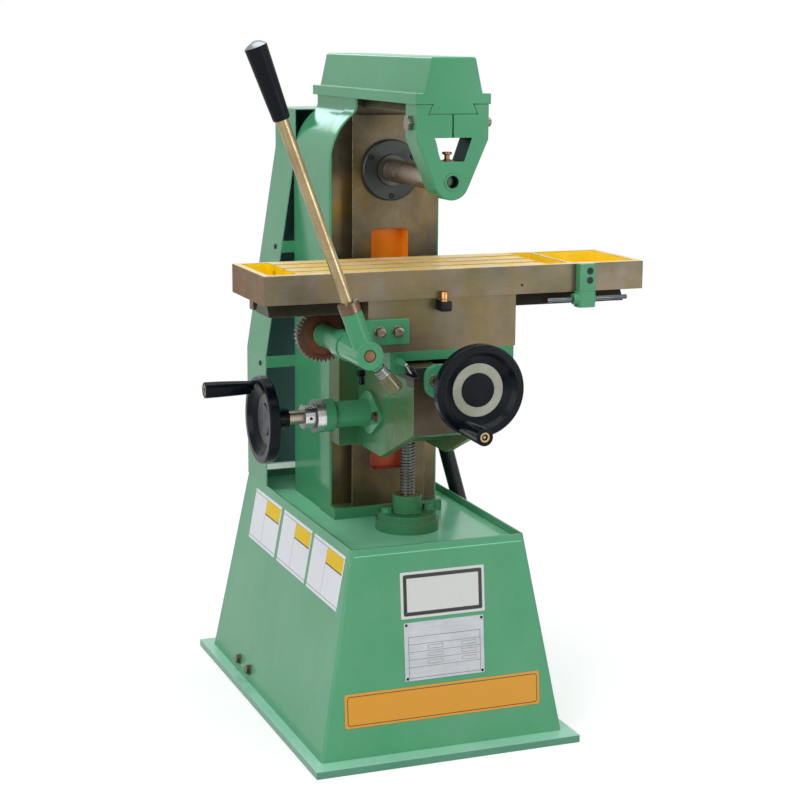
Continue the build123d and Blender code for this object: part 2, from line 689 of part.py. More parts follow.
# Two rolling bearings that carry the spindle, drawn as plain rings
FRONT_BEARING_Y = COLUMN_FACE + 2 * COLUMN_WALL
REAR_BEARING_Y = COLUMN_BACK
with BuildPart() as spindle_bearings:
    for bearing_y in (FRONT_BEARING_Y, REAR_BEARING_Y):
        with BuildSketch(facing_front(bearing_y)):
            with Locations((0, SPINDLE_Z)):
                Circle(BEARING_R)
                Circle(SPINDLE_R + RUNNING, mode=Mode.SUBTRACT)
        extrude(amount=BEARING_WIDTH)
save(spindle_bearings, "spindle_bearings")

# Disc that closes the front bearing
with BuildPart() as bearing_cover:
    with BuildSketch(facing_front(WAYS_FACE)):
        with Locations((0, SPINDLE_Z)):
            Circle(COVER_R)
            Circle(SPINDLE_NOSE_R + FREE, mode=Mode.SUBTRACT)
    extrude(amount=COVER_THICK)
    rim = bearing_cover.edges().filter_by(GeomType.CIRCLE).sort_by(Axis.Y)[0:2]
    chamfer(rim.sort_by(SortBy.RADIUS)[-1], COVER_THICK / 5)
save(bearing_cover, "bearing_cover")

# Spindle with a nose flange, and a tail for the pulley
NOSE_FRONT = WAYS_FACE - SPINDLE_NOSE_REACH
PULLEY_END = PULLEY_START + PULLEY_STEP * len(SPINDLE_STEPS)
with BuildPart() as spindle:
    with BuildSketch(facing_front(COLUMN_BACK)):
        with Locations((0, SPINDLE_Z)):
            Circle(SPINDLE_R)
    extrude(amount=COLUMN_BACK - WAYS_FACE)
    with BuildSketch(facing_front(WAYS_FACE)):
        with Locations((0, SPINDLE_Z)):
            Circle(SPINDLE_NOSE_R)
    extrude(amount=SPINDLE_NOSE_REACH)
    with BuildSketch(facing_front(PULLEY_END + BELT_THICK)):
        with Locations((0, SPINDLE_Z)):
            Circle(SPINDLE_TAIL_R)
    extrude(amount=PULLEY_END + BELT_THICK - COLUMN_BACK)
    with BuildSketch(facing_front(NOSE_FRONT)):
        with Locations((0, SPINDLE_Z)):
            Circle(ARBOR_R + RUNNING)
    extrude(amount=-ARBOR_SHANK, mode=Mode.SUBTRACT)
save(spindle, "spindle")

# Arbor held in the spindle, with a slimmer journal that runs in the support's bush
COLLARS_FRONT = SUPPORT_BACK + COLLAR_ROOM
with BuildPart() as arbor:
    with BuildSketch(facing_front(NOSE_FRONT + ARBOR_SHANK)):
        with Locations((0, SPINDLE_Z)):
            Circle(ARBOR_R)
    extrude(amount=NOSE_FRONT + ARBOR_SHANK - COLLARS_FRONT)
    with BuildSketch(facing_front(COLLARS_FRONT)):
        with Locations((0, SPINDLE_Z)):
            Circle(ARBOR_JOURNAL_R)
    extrude(amount=COLLARS_FRONT - ARM_FRONT - ARBOR_RECESS)
    chamfer(arbor.edges().sort_by(Axis.Y)[0], ARBOR_JOURNAL_R / 5)
save(arbor, "arbor")

# Spacing collars along the arbor, all of one length
COLLAR_PITCH = (NOSE_FRONT - COLLARS_FRONT) / COLLAR_COUNT
COLLAR_LENGTH = COLLAR_PITCH - COLLAR_GAP
with BuildPart() as arbor_collars:
    for index in range(COLLAR_COUNT):
        seat = axial_plane((0, NOSE_FRONT - index * COLLAR_PITCH, SPINDLE_Z), (0, -1, 0), (0, 0, 1))
        with BuildSketch(seat):
            Polygon(
                (0, ARBOR_R + RUNNING),
                (COLLAR_LENGTH, ARBOR_R + RUNNING),
                (COLLAR_LENGTH, COLLAR_R - COLLAR_CHAMFER),
                (COLLAR_LENGTH - COLLAR_CHAMFER, COLLAR_R),
                (COLLAR_CHAMFER, COLLAR_R),
                (0, COLLAR_R - COLLAR_CHAMFER),
            )
        revolve(axis=Axis(seat.origin, seat.x_dir))
save(arbor_collars, "arbor_collars")


def step_pulley(axis_z, steps, bore):
    """Cone pulley with one belt groove on each step, turned about an axis along Y."""
    groove_top = GROOVE_WIDTH / 2 + GROOVE_FLARE
    groove_bottom = GROOVE_WIDTH / 2
    outline = [(0, bore)]
    for number, radius in enumerate(steps):
        start = number * PULLEY_STEP
        middle = start + PULLEY_STEP / 2
        outline += [
            (start, radius),
            (middle - groove_top, radius),
            (middle - groove_bottom, radius - GROOVE_DEPTH),
            (middle + groove_bottom, radius - GROOVE_DEPTH),
            (middle + groove_top, radius),
            (start + PULLEY_STEP, radius),
        ]
    outline.append((len(steps) * PULLEY_STEP, bore))
    seat = axial_plane((0, PULLEY_START, axis_z), (0, 1, 0), (0, 0, 1))
    with BuildPart() as pulley:
        with BuildSketch(seat):
            Polygon(*outline)
        revolve(axis=Axis(seat.origin, seat.x_dir))
    return pulley


spindle_pulley = step_pulley(SPINDLE_Z, SPINDLE_STEPS, SPINDLE_TAIL_R + RUNNING)
save(spindle_pulley, "spindle_pulley")
motor_pulley = step_pulley(MOTOR_Z, MOTOR_STEPS, MOTOR_SHAFT_R + RUNNING)
save(motor_pulley, "motor_pulley")

# Belt on one pair of steps
BELT_WIDTH = GROOVE_WIDTH - 2 * FREE
BELT_BACK = PULLEY_START + (BELT_STEP + 0.5) * PULLEY_STEP + BELT_WIDTH / 2
with BuildPart() as v_belt:
    for thickness, mode in ((BELT_THICK, Mode.ADD), (0.0, Mode.SUBTRACT)):
        with BuildSketch(facing_front(BELT_BACK)) as belt_loop:
            with Locations((0, SPINDLE_Z)):
                Circle(SPINDLE_STEPS[BELT_STEP] - GROOVE_DEPTH + FREE + thickness)
            with Locations((0, MOTOR_Z)):
                Circle(MOTOR_STEPS[BELT_STEP] - GROOVE_DEPTH + FREE + thickness)
            make_hull(belt_loop.edges())
        extrude(amount=BELT_WIDTH, mode=mode)
save(v_belt, "v_belt")

# Finned motor inside the column, hung by its flange on a plate that closes the column's back
MOTOR_BORE_END = COLUMN_BACK - MOTOR_LENGTH / 4
with BuildPart() as motor:
    with BuildSketch(facing_front(COLUMN_BACK)):
        with Locations((0, MOTOR_Z)):
            Circle(MOTOR_FLANGE_R)
    extrude(amount=MOTOR_FLANGE_THICK)
    with BuildSketch(facing_front(COLUMN_BACK)):
        with Locations((0, MOTOR_Z)):
            Circle(MOTOR_R)
    extrude(amount=MOTOR_LENGTH)
    fillet(motor.edges().filter_by(GeomType.CIRCLE).sort_by(Axis.Y)[0], MOTOR_FLANGE_THICK)
    with BuildSketch(facing_front(COLUMN_BACK - MOTOR_FLANGE_THICK)):
        with Locations((0, MOTOR_Z)):
            with PolarLocations(MOTOR_R, MOTOR_FIN_COUNT):
                Rectangle(2 * MOTOR_FIN_HEIGHT, MOTOR_FIN_THICK)
    extrude(amount=MOTOR_LENGTH - MOTOR_FLANGE_THICK - MOTOR_FIN_END)
    with BuildSketch(facing_front(COLUMN_BACK)):
        with Locations((0, MOTOR_Z)):
            Circle(MOTOR_SHAFT_R + RUNNING)
    extrude(amount=COLUMN_BACK - MOTOR_BORE_END, mode=Mode.SUBTRACT)
save(motor, "motor")

with BuildPart() as motor_plate:
    with BuildSketch(facing_front(COLUMN_BACK + MOTOR_PLATE_THICK)):
        with Locations((0, MOTOR_Z)):
            RectangleRounded(2 * MOTOR_PLATE_HALF, 2 * MOTOR_PLATE_HALF, MOTOR_PLATE_THICK)
            Circle(MOTOR_SHAFT_R + FREE, mode=Mode.SUBTRACT)
    extrude(amount=MOTOR_PLATE_THICK)
save(motor_plate, "motor_plate")

with BuildPart() as motor_shaft:
    with BuildSketch(facing_front(PULLEY_END + BELT_THICK)):
        with Locations((0, MOTOR_Z)):
            Circle(MOTOR_SHAFT_R)
    extrude(amount=PULLEY_END + BELT_THICK - MOTOR_BORE_END)
save(motor_shaft, "motor_shaft")

# Belt guard: a folded sheet box, open towards the column and standing on the tray's lip
GUARD_FRONT = COLUMN_BACK + GUARD_GAP
GUARD_BACK = TRAY_DEPTH / 2
with BuildPart() as belt_guard:
    with BuildSketch(facing_front(GUARD_BACK)):
        guard_outline(TRAY_TOP, GUARD_TOP, 0)
    extrude(amount=GUARD_BACK - GUARD_FRONT)
    with BuildSketch(facing_front(GUARD_BACK - GUARD_SHEET)):
        guard_outline(TRAY_TOP, GUARD_TOP - GUARD_SHEET, GUARD_SHEET)
    extrude(amount=GUARD_BACK - GUARD_SHEET - GUARD_FRONT, mode=Mode.SUBTRACT)
save(belt_guard, "belt_guard")

# Angle brackets from the column's back corners to the guard's sides
with BuildPart() as guard_brackets:
    for side in (-1, 1):
        for rise in BRACKET_RISES:
            low = TRAY_TOP + rise - BRACKET_WIDTH / 2
            high = low + BRACKET_WIDTH
            low_x = guard_half(low, GUARD_SHEET + SLIDE)
            high_x = guard_half(high, GUARD_SHEET + SLIDE)
            inner_x = COLUMN_HALF - BRACKET_FOOT
            with BuildSketch(facing_front(COLUMN_BACK + BRACKET_THICK)):
                Polygon(
                    (side * inner_x, low),
                    (side * low_x, low),
                    (side * high_x, high),
                    (side * inner_x, high),
                )
            extrude(amount=BRACKET_THICK)
            with BuildSketch(facing_front(COLUMN_BACK + BRACKET_FLANGE)):
                Polygon(
                    (side * (low_x - BRACKET_THICK), low),
                    (side * low_x, low),
                    (side * high_x, high),
                    (side * (high_x - BRACKET_THICK), high),
                )
            extrude(amount=BRACKET_FLANGE)
save(guard_brackets, "guard_brackets")

with BuildPart() as guard_tie_bar:
    with BuildSketch(facing_front(COLUMN_BACK + TIE_BAR_THICK)):
        with Locations((0, TIE_BAR_Z)):
            Rectangle(2 * guard_half(TIE_BAR_Z, GUARD_SHEET + SLIDE), TIE_BAR_HEIGHT)
    extrude(amount=TIE_BAR_THICK)
save(guard_tie_bar, "guard_tie_bar")

# Straight conduit that leans out past the tray's lip, between two elbow glands
conduit_top = Vector(COLUMN_HALF + CONDUIT_TOP_REACH, CONDUIT_Y, TRAY_TOP + CONDUIT_TOP_RISE)
conduit_bottom = Vector(TRAY_WIDTH / 2 + CONDUIT_BOTTOM_REACH, CONDUIT_Y, TRAY_TOP - CONDUIT_BOTTOM_DROP)
conduit_run = conduit_bottom - conduit_top
conduit_way = conduit_run.normalized()
with BuildPart() as power_conduit:
    with BuildSketch(Plane(origin=conduit_top, z_dir=conduit_way)):
        Circle(CONDUIT_R)
        Circle(CONDUIT_R - CONDUIT_WALL, mode=Mode.SUBTRACT)
    extrude(amount=conduit_run.length)
save(power_conduit, "power_conduit")

upper_elbow = conduit_top - conduit_way * GLAND_SOCKET
lower_elbow = conduit_bottom + conduit_way * GLAND_SOCKET
wall_plane = pedestal_side(1, CONDUIT_Y, lower_elbow.Z)
wall_reach = (lower_elbow - wall_plane.origin).dot(wall_plane.z_dir)
with BuildPart() as conduit_glands:
    with BuildSketch(facing_right(COLUMN_HALF)):
        with Locations((CONDUIT_Y, upper_elbow.Z)):
            Circle(GLAND_R)
    extrude(amount=upper_elbow.X - COLUMN_HALF)
    with BuildSketch(Plane(origin=upper_elbow, z_dir=conduit_way)):
        Circle(GLAND_R)
    extrude(amount=GLAND_SOCKET)
    with Locations(upper_elbow):
        Sphere(GLAND_R)
    with BuildSketch(Plane(origin=lower_elbow - wall_plane.z_dir * wall_reach, z_dir=wall_plane.z_dir)):
        Circle(GLAND_R)
    extrude(amount=wall_reach)
    with BuildSketch(Plane(origin=lower_elbow, z_dir=conduit_way * -1)):
        Circle(GLAND_R)
    extrude(amount=GLAND_SOCKET)
    with Locations(lower_elbow):
        Sphere(GLAND_R)
save(conduit_glands, "conduit_glands")

# Nut base: stepped round casting that carries the elevating nut on the tray
with BuildPart() as nut_base:
    with BuildSketch(level(TRAY_FLOOR)):
        with Locations((0, SCREW_Y)):
            Circle(NUT_FOOT_R)
    extrude(amount=NUT_FOOT_TOP - TRAY_FLOOR)
    with BuildSketch(level(NUT_FOOT_TOP)):
        with Locations((0, SCREW_Y)):
            Circle(NUT_RING_R)
    extrude(amount=NUT_RING_TOP - NUT_FOOT_TOP)
    with BuildSketch(level(NUT_RING_TOP)):
        with Locations((0, SCREW_Y)):
            Circle(NUT_HUB_R)
    extrude(amount=NUT_HUB_TOP - NUT_RING_TOP)
    with BuildSketch(level(TRAY_FLOOR)):
        with Locations((0, SCREW_Y)):
            Circle(NUT_R + RUNNING)
    extrude(amount=NUT_HUB_TOP - TRAY_FLOOR, mode=Mode.SUBTRACT)
save(nut_base, "nut_base")

with BuildPart() as elevating_nut:
    with BuildSketch(level(TRAY_FLOOR)):
        with Locations((0, SCREW_Y)):
            Circle(NUT_R)
            Circle(SCREW_R + RUNNING, mode=Mode.SUBTRACT)
    extrude(amount=NUT_HUB_TOP - TRAY_FLOOR)
save(elevating_nut, "elevating_nut")


def hex_bolt(seat):
    """Washer and hexagon head standing on a seat plane, added to the part being built."""
    with BuildSketch(seat, mode=Mode.PRIVATE) as washer:
        Circle(WASHER_R)
    extrude(washer.sketch, amount=WASHER_THICK)
    with BuildSketch(seat.offset(WASHER_THICK), mode=Mode.PRIVATE) as head:
        RegularPolygon(BOLT_FLATS / 2, 6, major_radius=False)
    extrude(head.sketch, amount=BOLT_HEAD)


# Bolts on the pedestal's left wall and on the nut base
with BuildPart() as frame_bolts:
    for side in (-1, 1):
        hex_bolt(pedestal_side(-1, WALL_BOLT_Y + side * WALL_BOLT_SPACING / 2, WALL_BOLT_Z))
        hex_bolt(Plane(origin=(side * NUT_BOLT_RADIUS, SCREW_Y, NUT_RING_TOP)))
save(frame_bolts, "frame_bolts")

# Knee: casting open beneath that wraps the column's ways, with a shelf for the elevating screw
with BuildPart() as knee:
    with BuildSketch(facing_right(-KNEE_HALF)) as knee_view:
        Polygon(
            (KNEE_BACK, KNEE_TOP),
            (KNEE_FRONT, KNEE_TOP),
            (KNEE_FRONT, KNEE_NOSE_BOTTOM),
            (KNEE_BELLY_Y, KNEE_BOTTOM),
            (KNEE_BACK, KNEE_BOTTOM),
        )
        fillet(knee_view.vertices().sort_by_distance((KNEE_BELLY_Y, KNEE_BOTTOM))[0], KNEE_BELLY_R)
    extrude(amount=2 * KNEE_HALF)
    belly_edges = knee.faces().sort_by(Axis.X)[0].edges() + knee.faces().sort_by(Axis.X)[-1].edges()
    fillet(belly_edges.filter_by(lambda e: e.center().Z < KNEE_NOSE_BOTTOM), KNEE_EDGE_R)
    with BuildSketch(level(KNEE_BOTTOM)):
        with Locations((0, KNEE_BACK)):
            Rectangle(
                2 * COLUMN_FLANGE_HALF,
                COLUMN_FACE - SLIDE - KNEE_BACK,
                align=(Align.CENTER, Align.MIN),
            )
    extrude(amount=KNEE_TOP - KNEE_BOTTOM)
    with BuildSketch(facing_front(KNEE_BACK)):
        dovetail(0, CROSS_WAYS_ROOT_HALF, CROSS_WAYS_HALF, KNEE_TOP, CROSS_WAYS_TOP)
    extrude(amount=KNEE_BACK - KNEE_FRONT)
    with BuildSketch(level(KNEE_BOTTOM)):
        dovetail_slot(0, WAYS_ROOT_HALF, WAYS_HALF, COLUMN_FACE, WAYS_FACE, SLIDE, right=GIB_THICK)
    extrude(amount=KNEE_TOP - KNEE_BOTTOM, mode=Mode.SUBTRACT)
    with BuildSketch(level(KNEE_CAVITY_TOP)):
        with Locations((0, (KNEE_FRONT + KNEE_BACK) / 2)):
            Rectangle(2 * (KNEE_HALF - KNEE_WALL), KNEE_BACK - KNEE_FRONT - 2 * KNEE_WALL)
    extrude(amount=KNEE_BOTTOM - KNEE_CAVITY_TOP, mode=Mode.SUBTRACT)
    with BuildSketch(level(SHELF_TOP)):
        with Locations((0, KNEE_BACK)):
            Rectangle(2 * KNEE_HALF, KNEE_BACK - SHELF_FRONT, align=(Align.CENTER, Align.MAX))
    extrude(amount=-KNEE_WALL)
    with BuildSketch(facing_front(KNEE_BACK - KNEE_WALL)):
        with Locations((0, CROSS_GROOVE_BOTTOM)):
            Rectangle(
                2 * CROSS_GROOVE_HALF,
                CROSS_WAYS_TOP - CROSS_GROOVE_BOTTOM,
                align=(Align.CENTER, Align.MIN),
            )
    extrude(amount=KNEE_BACK - KNEE_WALL - KNEE_FRONT, mode=Mode.SUBTRACT)
    with BuildSketch(facing_right(-KNEE_HALF)):
        with Locations((SCREW_Y, CRANK_Z)):
            Circle(CRANK_SHAFT_R + FREE)
    extrude(amount=KNEE_WALL, mode=Mode.SUBTRACT)
    with BuildSketch(level(SHELF_TOP)):
        with Locations((0, SCREW_Y)):
            Circle(SCREW_R + RUNNING)
    extrude(amount=-KNEE_WALL, mode=Mode.SUBTRACT)
save(knee, "knee")

# Gib strip that takes up the play on the right flank of the column's ways
with BuildPart() as knee_gib:
    with BuildSketch(level(KNEE_BOTTOM)):
        Polygon(
            (WAYS_ROOT_HALF + SLIDE, COLUMN_FACE - SLIDE),
            (WAYS_HALF + SLIDE, WAYS_FACE),
            (WAYS_HALF + GIB_THICK, WAYS_FACE),
            (WAYS_ROOT_HALF + GIB_THICK, COLUMN_FACE - SLIDE),
        )
    extrude(amount=KNEE_TOP - KNEE_BOTTOM)
save(knee_gib, "knee_gib")

# Crank housing: flanged tube on the knee's left side
with BuildPart() as crank_housing:
    with BuildSketch(facing_right(-KNEE_HALF)) as flange_view:
        with Locations((SCREW_Y, CRANK_Z)):
            Circle(HOUSING_FLANGE_R)
        with Locations(
            (SCREW_Y - HOUSING_BOLT_SPACING / 2, CRANK_Z),
            (SCREW_Y + HOUSING_BOLT_SPACING / 2, CRANK_Z),
        ):
            Circle(WASHER_R + WASHER_THICK)
        make_hull(flange_view.edges())
    extrude(amount=-HOUSING_FLANGE_THICK)
    with BuildSketch(facing_right(HOUSING_X)):
        with Locations((SCREW_Y, CRANK_Z)):
            Circle(HOUSING_R)
    extrude(amount=DIAL_X + FREE - HOUSING_X)
    with BuildSketch(facing_right(DIAL_X + FREE)):
        with Locations((SCREW_Y, CRANK_Z)):
            Circle(HOUSING_END_R)
    extrude(amount=HOUSING_END_LENGTH)
    with BuildSketch(facing_right(-KNEE_HALF)):
        with Locations((SCREW_Y, CRANK_Z)):
            Circle(CRANK_SHAFT_R + RUNNING)
    extrude(amount=DIAL_X + KNEE_HALF, mode=Mode.SUBTRACT)
save(crank_housing, "crank_housing")

# Cross bracket: rounded flange and boss on the knee's front
BRACKET_FRONT = KNEE_FRONT - CROSS_BRACKET_THICK
BOSS_FRONT = BRACKET_FRONT - CROSS_BRACKET_BOSS
with BuildPart() as cross_bracket:
    with BuildSketch(facing_front(KNEE_FRONT)):
        with Locations((0, KNEE_TOP + CROSS_BRACKET_RISE - CROSS_BRACKET_HEIGHT / 2)):
            RectangleRounded(2 * CROSS_BRACKET_HALF, CROSS_BRACKET_HEIGHT, CROSS_BRACKET_CORNER_R)
    extrude(amount=CROSS_BRACKET_THICK)
    with BuildSketch(facing_front(BRACKET_FRONT)):
        with Locations((0, CROSS_Z)):
            Circle(CROSS_BRACKET_BOSS_R)
    extrude(amount=CROSS_BRACKET_BOSS)
    with BuildSketch(facing_front(KNEE_FRONT)):
        with Locations((0, CROSS_Z)):
            Circle(CROSS_SCREW_R + RUNNING)
    extrude(amount=KNEE_FRONT - BOSS_FRONT, mode=Mode.SUBTRACT)
save(cross_bracket, "cross_bracket")

# Bolts of the crank housing and the cross bracket
with BuildPart() as flange_bolts:
    for side in (-1, 1):
        crank_seat = (HOUSING_X, SCREW_Y + side * HOUSING_BOLT_SPACING / 2, CRANK_Z)
        hex_bolt(Plane(origin=crank_seat, x_dir=(0, 1, 0), z_dir=(-1, 0, 0)))
        bracket_seat = (side * CROSS_BRACKET_SPACING / 2, BRACKET_FRONT, CROSS_Z)
        hex_bolt(Plane(origin=bracket_seat, x_dir=(1, 0, 0), z_dir=(0, -1, 0)))
save(flange_bolts, "flange_bolts")

# Crank shaft with a slim end for its bevel gear
BEVEL_BACK = BEVEL_R + BEVEL_HUB
SHAFT_INNER_X = BEVEL_FACE - BEVEL_R
with BuildPart() as crank_shaft:
    with BuildSketch(facing_right(CRANK_WHEEL_X + WHEEL_WEB_SINK + GAP)):
        with Locations((SCREW_Y, CRANK_Z)):
            Circle(CRANK_SHAFT_R)
    extrude(amount=-BEVEL_BACK - (CRANK_WHEEL_X + WHEEL_WEB_SINK + GAP))
    with BuildSketch(facing_right(-BEVEL_BACK)):
        with Locations((SCREW_Y, CRANK_Z)):
            Circle(BEVEL_BORE)
    extrude(amount=SHAFT_INNER_X + BEVEL_BACK)
save(crank_shaft, "crank_shaft")


def bevel_gear(seat):
    """Mitre gear with straight teeth, whose pitch cone has its tip at the seat's origin.

    The seat's x axis runs from the tip to the gear's back and its y axis points at the mesh.
    The first tooth is a quarter of a pitch off the mesh, so two alike gears turn together.
    """
    module = 2 * BEVEL_R / BEVEL_TEETH
    near = 1 - BEVEL_FACE / BEVEL_R
    inset = FREE / BEVEL_R
    addendum = BEVEL_ADDENDUM * module
    dedendum = BEVEL_DEDENDUM * module
    root_x = BEVEL_R + dedendum * cos(pi / 4)
    root_y = BEVEL_R - dedendum * sin(pi / 4)
    pitch_half = (pi * module / 2 - BEVEL_BACKLASH) / 2
    tip_half = pitch_half - addendum * tan(PRESSURE_ANGLE)
    root_half = pitch_half + dedendum * tan(PRESSURE_ANGLE)
    tooth = [
        (-root_half, -dedendum - FREE),
        (root_half, -dedendum - FREE),
        (tip_half, addendum),
        (-tip_half, addendum),
    ]
    with BuildPart() as gear:
        with BuildSketch(seat):
            Polygon(
                (near * root_x, BEVEL_BORE + RUNNING),
                (near * root_x, near * root_y),
                (root_x, root_y),
                (BEVEL_BACK, root_y - BEVEL_HUB),
                (BEVEL_BACK, BEVEL_BORE + RUNNING),
            )
        revolve(axis=Axis(seat.origin, seat.x_dir))
        for number in range(BEVEL_TEETH):
            turn = 2 * pi * (number + 1 / 4) / BEVEL_TEETH
            outward = seat.y_dir * cos(turn) + seat.z_dir * sin(turn)
            pitch_line = seat.x_dir + outward
            for scale in (near + inset, 1 - inset):
                pitch_point = seat.origin + pitch_line * (BEVEL_R * scale)
                with BuildSketch(Plane(pitch_point, x_dir=outward.cross(seat.x_dir), z_dir=pitch_line)):
                    Polygon(*[(x * scale, y * scale) for x, y in tooth])
            loft(ruled=True)
    return gear


crank_bevel = bevel_gear(axial_plane((0, SCREW_Y, CRANK_Z), (-1, 0, 0), (0, 0, -1)))
save(crank_bevel, "crank_bevel")
screw_bevel = bevel_gear(axial_plane((0, SCREW_Y, CRANK_Z), (0, 0, -1), (-1, 0, 0)))
save(screw_bevel, "screw_bevel")

# Elevating screw, which carries the knee's shelf between its thread and a collar
COLLAR_Z = SHELF_TOP + SLIDE
with BuildPart() as elevating_screw:
    with BuildSketch(level(SCREW_BOTTOM)):
        with Locations((0, SCREW_Y)):
            Circle(SCREW_R)
    extrude(amount=COLLAR_Z - SCREW_BOTTOM)
    with BuildSketch(level(COLLAR_Z)):
        with Locations((0, SCREW_Y)):
            Circle(SCREW_COLLAR_R)
    extrude(amount=SCREW_COLLAR_THICK)
    with BuildSketch(level(COLLAR_Z)):
        with Locations((0, SCREW_Y)):
            Circle(BEVEL_BORE)
    extrude(amount=CRANK_Z + SHAFT_INNER_X - COLLAR_Z)
    chamfer(elevating_screw.edges().sort_by(Axis.Z)[0], SCREW_R / 5)
save(elevating_screw, "elevating_screw")

# Chrome dial on the crank shaft
with BuildPart() as crank_dial:
    with BuildSketch(facing_right(DIAL_X)):
        with Locations((SCREW_Y, CRANK_Z)):
            Circle(DIAL_R)
    extrude(amount=-DIAL_LENGTH)
    with BuildSketch(facing_right(DIAL_X - DIAL_LENGTH)):
        with Locations((SCREW_Y, CRANK_Z)):
            Circle(DIAL_STEP_R)
    extrude(amount=-DIAL_STEP_LENGTH)
    with BuildSketch(facing_right(DIAL_X)):
        with Locations((SCREW_Y, CRANK_Z)):
            Circle(CRANK_SHAFT_R + RUNNING)
    extrude(amount=-DIAL_LENGTH - DIAL_STEP_LENGTH, mode=Mode.SUBTRACT)
save(crank_dial, "crank_dial")


def handwheel(seat, bore):
    """Dished handwheel with a closed cap, a rounded rim and a fixed pin for its handle.

    The seat's origin is the wheel's centre in the plane of the rim's outer edge, its x axis
    points away from the machine and its y axis points at the handle.
    """
    rim_in = WHEEL_R - WHEEL_RIM_WIDTH
    with BuildPart() as wheel:
        with BuildSketch(seat) as section:
            Polygon(
                (-WHEEL_HUB_REACH, bore),
                (-WHEEL_HUB_REACH, WHEEL_HUB_R),
                (-WHEEL_RIM_DEPTH, WHEEL_HUB_R + WHEEL_HUB_FLARE),
                (-WHEEL_RIM_DEPTH, WHEEL_R),
                (0, WHEEL_R),
                (0, rim_in + WHEEL_RIM_SLOPE),
                (-WHEEL_WEB_SINK / 2, rim_in),
                (-WHEEL_WEB_SINK, WHEEL_RING_R),
                (-WHEEL_WEB_SINK, WHEEL_CAP_R),
                (-WHEEL_CAP_SINK, WHEEL_CAP_R),
                (-WHEEL_CAP_SINK, 0),
                (-WHEEL_WEB_SINK - GAP, 0),
                (-WHEEL_WEB_SINK - GAP, bore),
            )
            fillet(section.vertices().group_by(Axis.Y)[-1], WHEEL_RIM_ROUND)
        revolve(axis=Axis(seat.origin, seat.x_dir))
        pin_base = seat.origin + seat.y_dir * HANDLE_RADIUS - seat.x_dir * (WHEEL_RIM_DEPTH / 2)
        with BuildSketch(Plane(origin=pin_base, z_dir=seat.x_dir)):
            Circle(HANDLE_PIN_R)
        extrude(amount=WHEEL_RIM_DEPTH / 2 + GAP + HANDLE_LENGTH - HANDLE_RECESS)
    return wheel


def turning_handle(seat):
    """Swelling handle that turns on its wheel's pin; the seat is its wheel's seat."""
    axle = Plane(origin=seat.origin + seat.y_dir * HANDLE_RADIUS, x_dir=seat.x_dir, z_dir=seat.z_dir)
    end = GAP + HANDLE_LENGTH
    with BuildPart() as handle:
        with BuildSketch(axle) as handle_section:
            with BuildLine():
                neck = Line((GAP, HANDLE_PIN_R + RUNNING), (GAP, HANDLE_BASE_R))
                swell = ThreePointArc(
                    neck @ 1,
                    (end / 2, (HANDLE_BASE_R + HANDLE_END_R) / 2 + HANDLE_SWELL),
                    (end, HANDLE_END_R),
                )
                Polyline(
                    swell @ 1,
                    (end, HANDLE_PIN_R + HANDLE_RECESS_RIM),
                    (end - HANDLE_RECESS, HANDLE_PIN_R + HANDLE_RECESS_RIM),
                    (end - HANDLE_RECESS, HANDLE_PIN_R + RUNNING),
                    neck @ 0,
                )
            make_face()
            fillet(handle_section.vertices().sort_by_distance((end, HANDLE_END_R))[0], HANDLE_END_ROUND)
        revolve(axis=Axis(axle.origin, axle.x_dir))
    return handle


def spoke(angle, first, second):
    """Unit direction at an angle between two unit directions."""
    return Vector(*first) * cos(radians(angle)) + Vector(*second) * sin(radians(angle))


knee_wheel_seat = axial_plane(
    (CRANK_WHEEL_X, SCREW_Y, CRANK_Z), (-1, 0, 0), spoke(KNEE_HANDLE_ANGLE, (0, 1, 0), (0, 0, 1))
)
knee_handwheel = handwheel(knee_wheel_seat, CRANK_SHAFT_R + RUNNING)
save(knee_handwheel, "knee_handwheel")
knee_wheel_handle = turning_handle(knee_wheel_seat)
save(knee_wheel_handle, "knee_wheel_handle")

cross_wheel_seat = axial_plane(
    (0, CROSS_WHEEL_Y, CROSS_Z), (0, -1, 0), spoke(CROSS_HANDLE_ANGLE, (1, 0, 0), (0, 0, 1))
)
cross_handwheel = handwheel(cross_wheel_seat, CROSS_SCREW_R + RUNNING)
save(cross_handwheel, "cross_handwheel")
cross_wheel_handle = turning_handle(cross_wheel_seat)
save(cross_wheel_handle, "cross_wheel_handle")

# Cross screw, from the knee's groove through the bracket into the handwheel
with BuildPart() as cross_screw:
    with BuildSketch(facing_front(KNEE_BACK - KNEE_WALL - GAP)):
        with Locations((0, CROSS_Z)):
            Circle(CROSS_SCREW_R)
    screw_end = CROSS_WHEEL_Y + WHEEL_WEB_SINK + GAP
    extrude(amount=KNEE_BACK - KNEE_WALL - GAP - screw_end)
save(cross_screw, "cross_screw")

with BuildPart() as cross_dial:
    with BuildSketch(facing_front(BOSS_FRONT - FREE)):
        with Locations((0, CROSS_Z)):
            Circle(CROSS_DIAL_R)
    extrude(amount=CROSS_DIAL_LENGTH)
    with BuildSketch(facing_front(BOSS_FRONT - FREE)):
        with Locations((0, CROSS_Z)):
            Circle(WHEEL_HUB_R)
    hub_back = CROSS_WHEEL_Y + WHEEL_HUB_REACH
    extrude(amount=BOSS_FRONT - FREE - hub_back)
    with BuildSketch(facing_front(BOSS_FRONT - FREE)):
        with Locations((0, CROSS_Z)):
            Circle(CROSS_SCREW_R + RUNNING)
    extrude(amount=BOSS_FRONT - FREE - hub_back, mode=Mode.SUBTRACT)
save(cross_dial, "cross_dial")

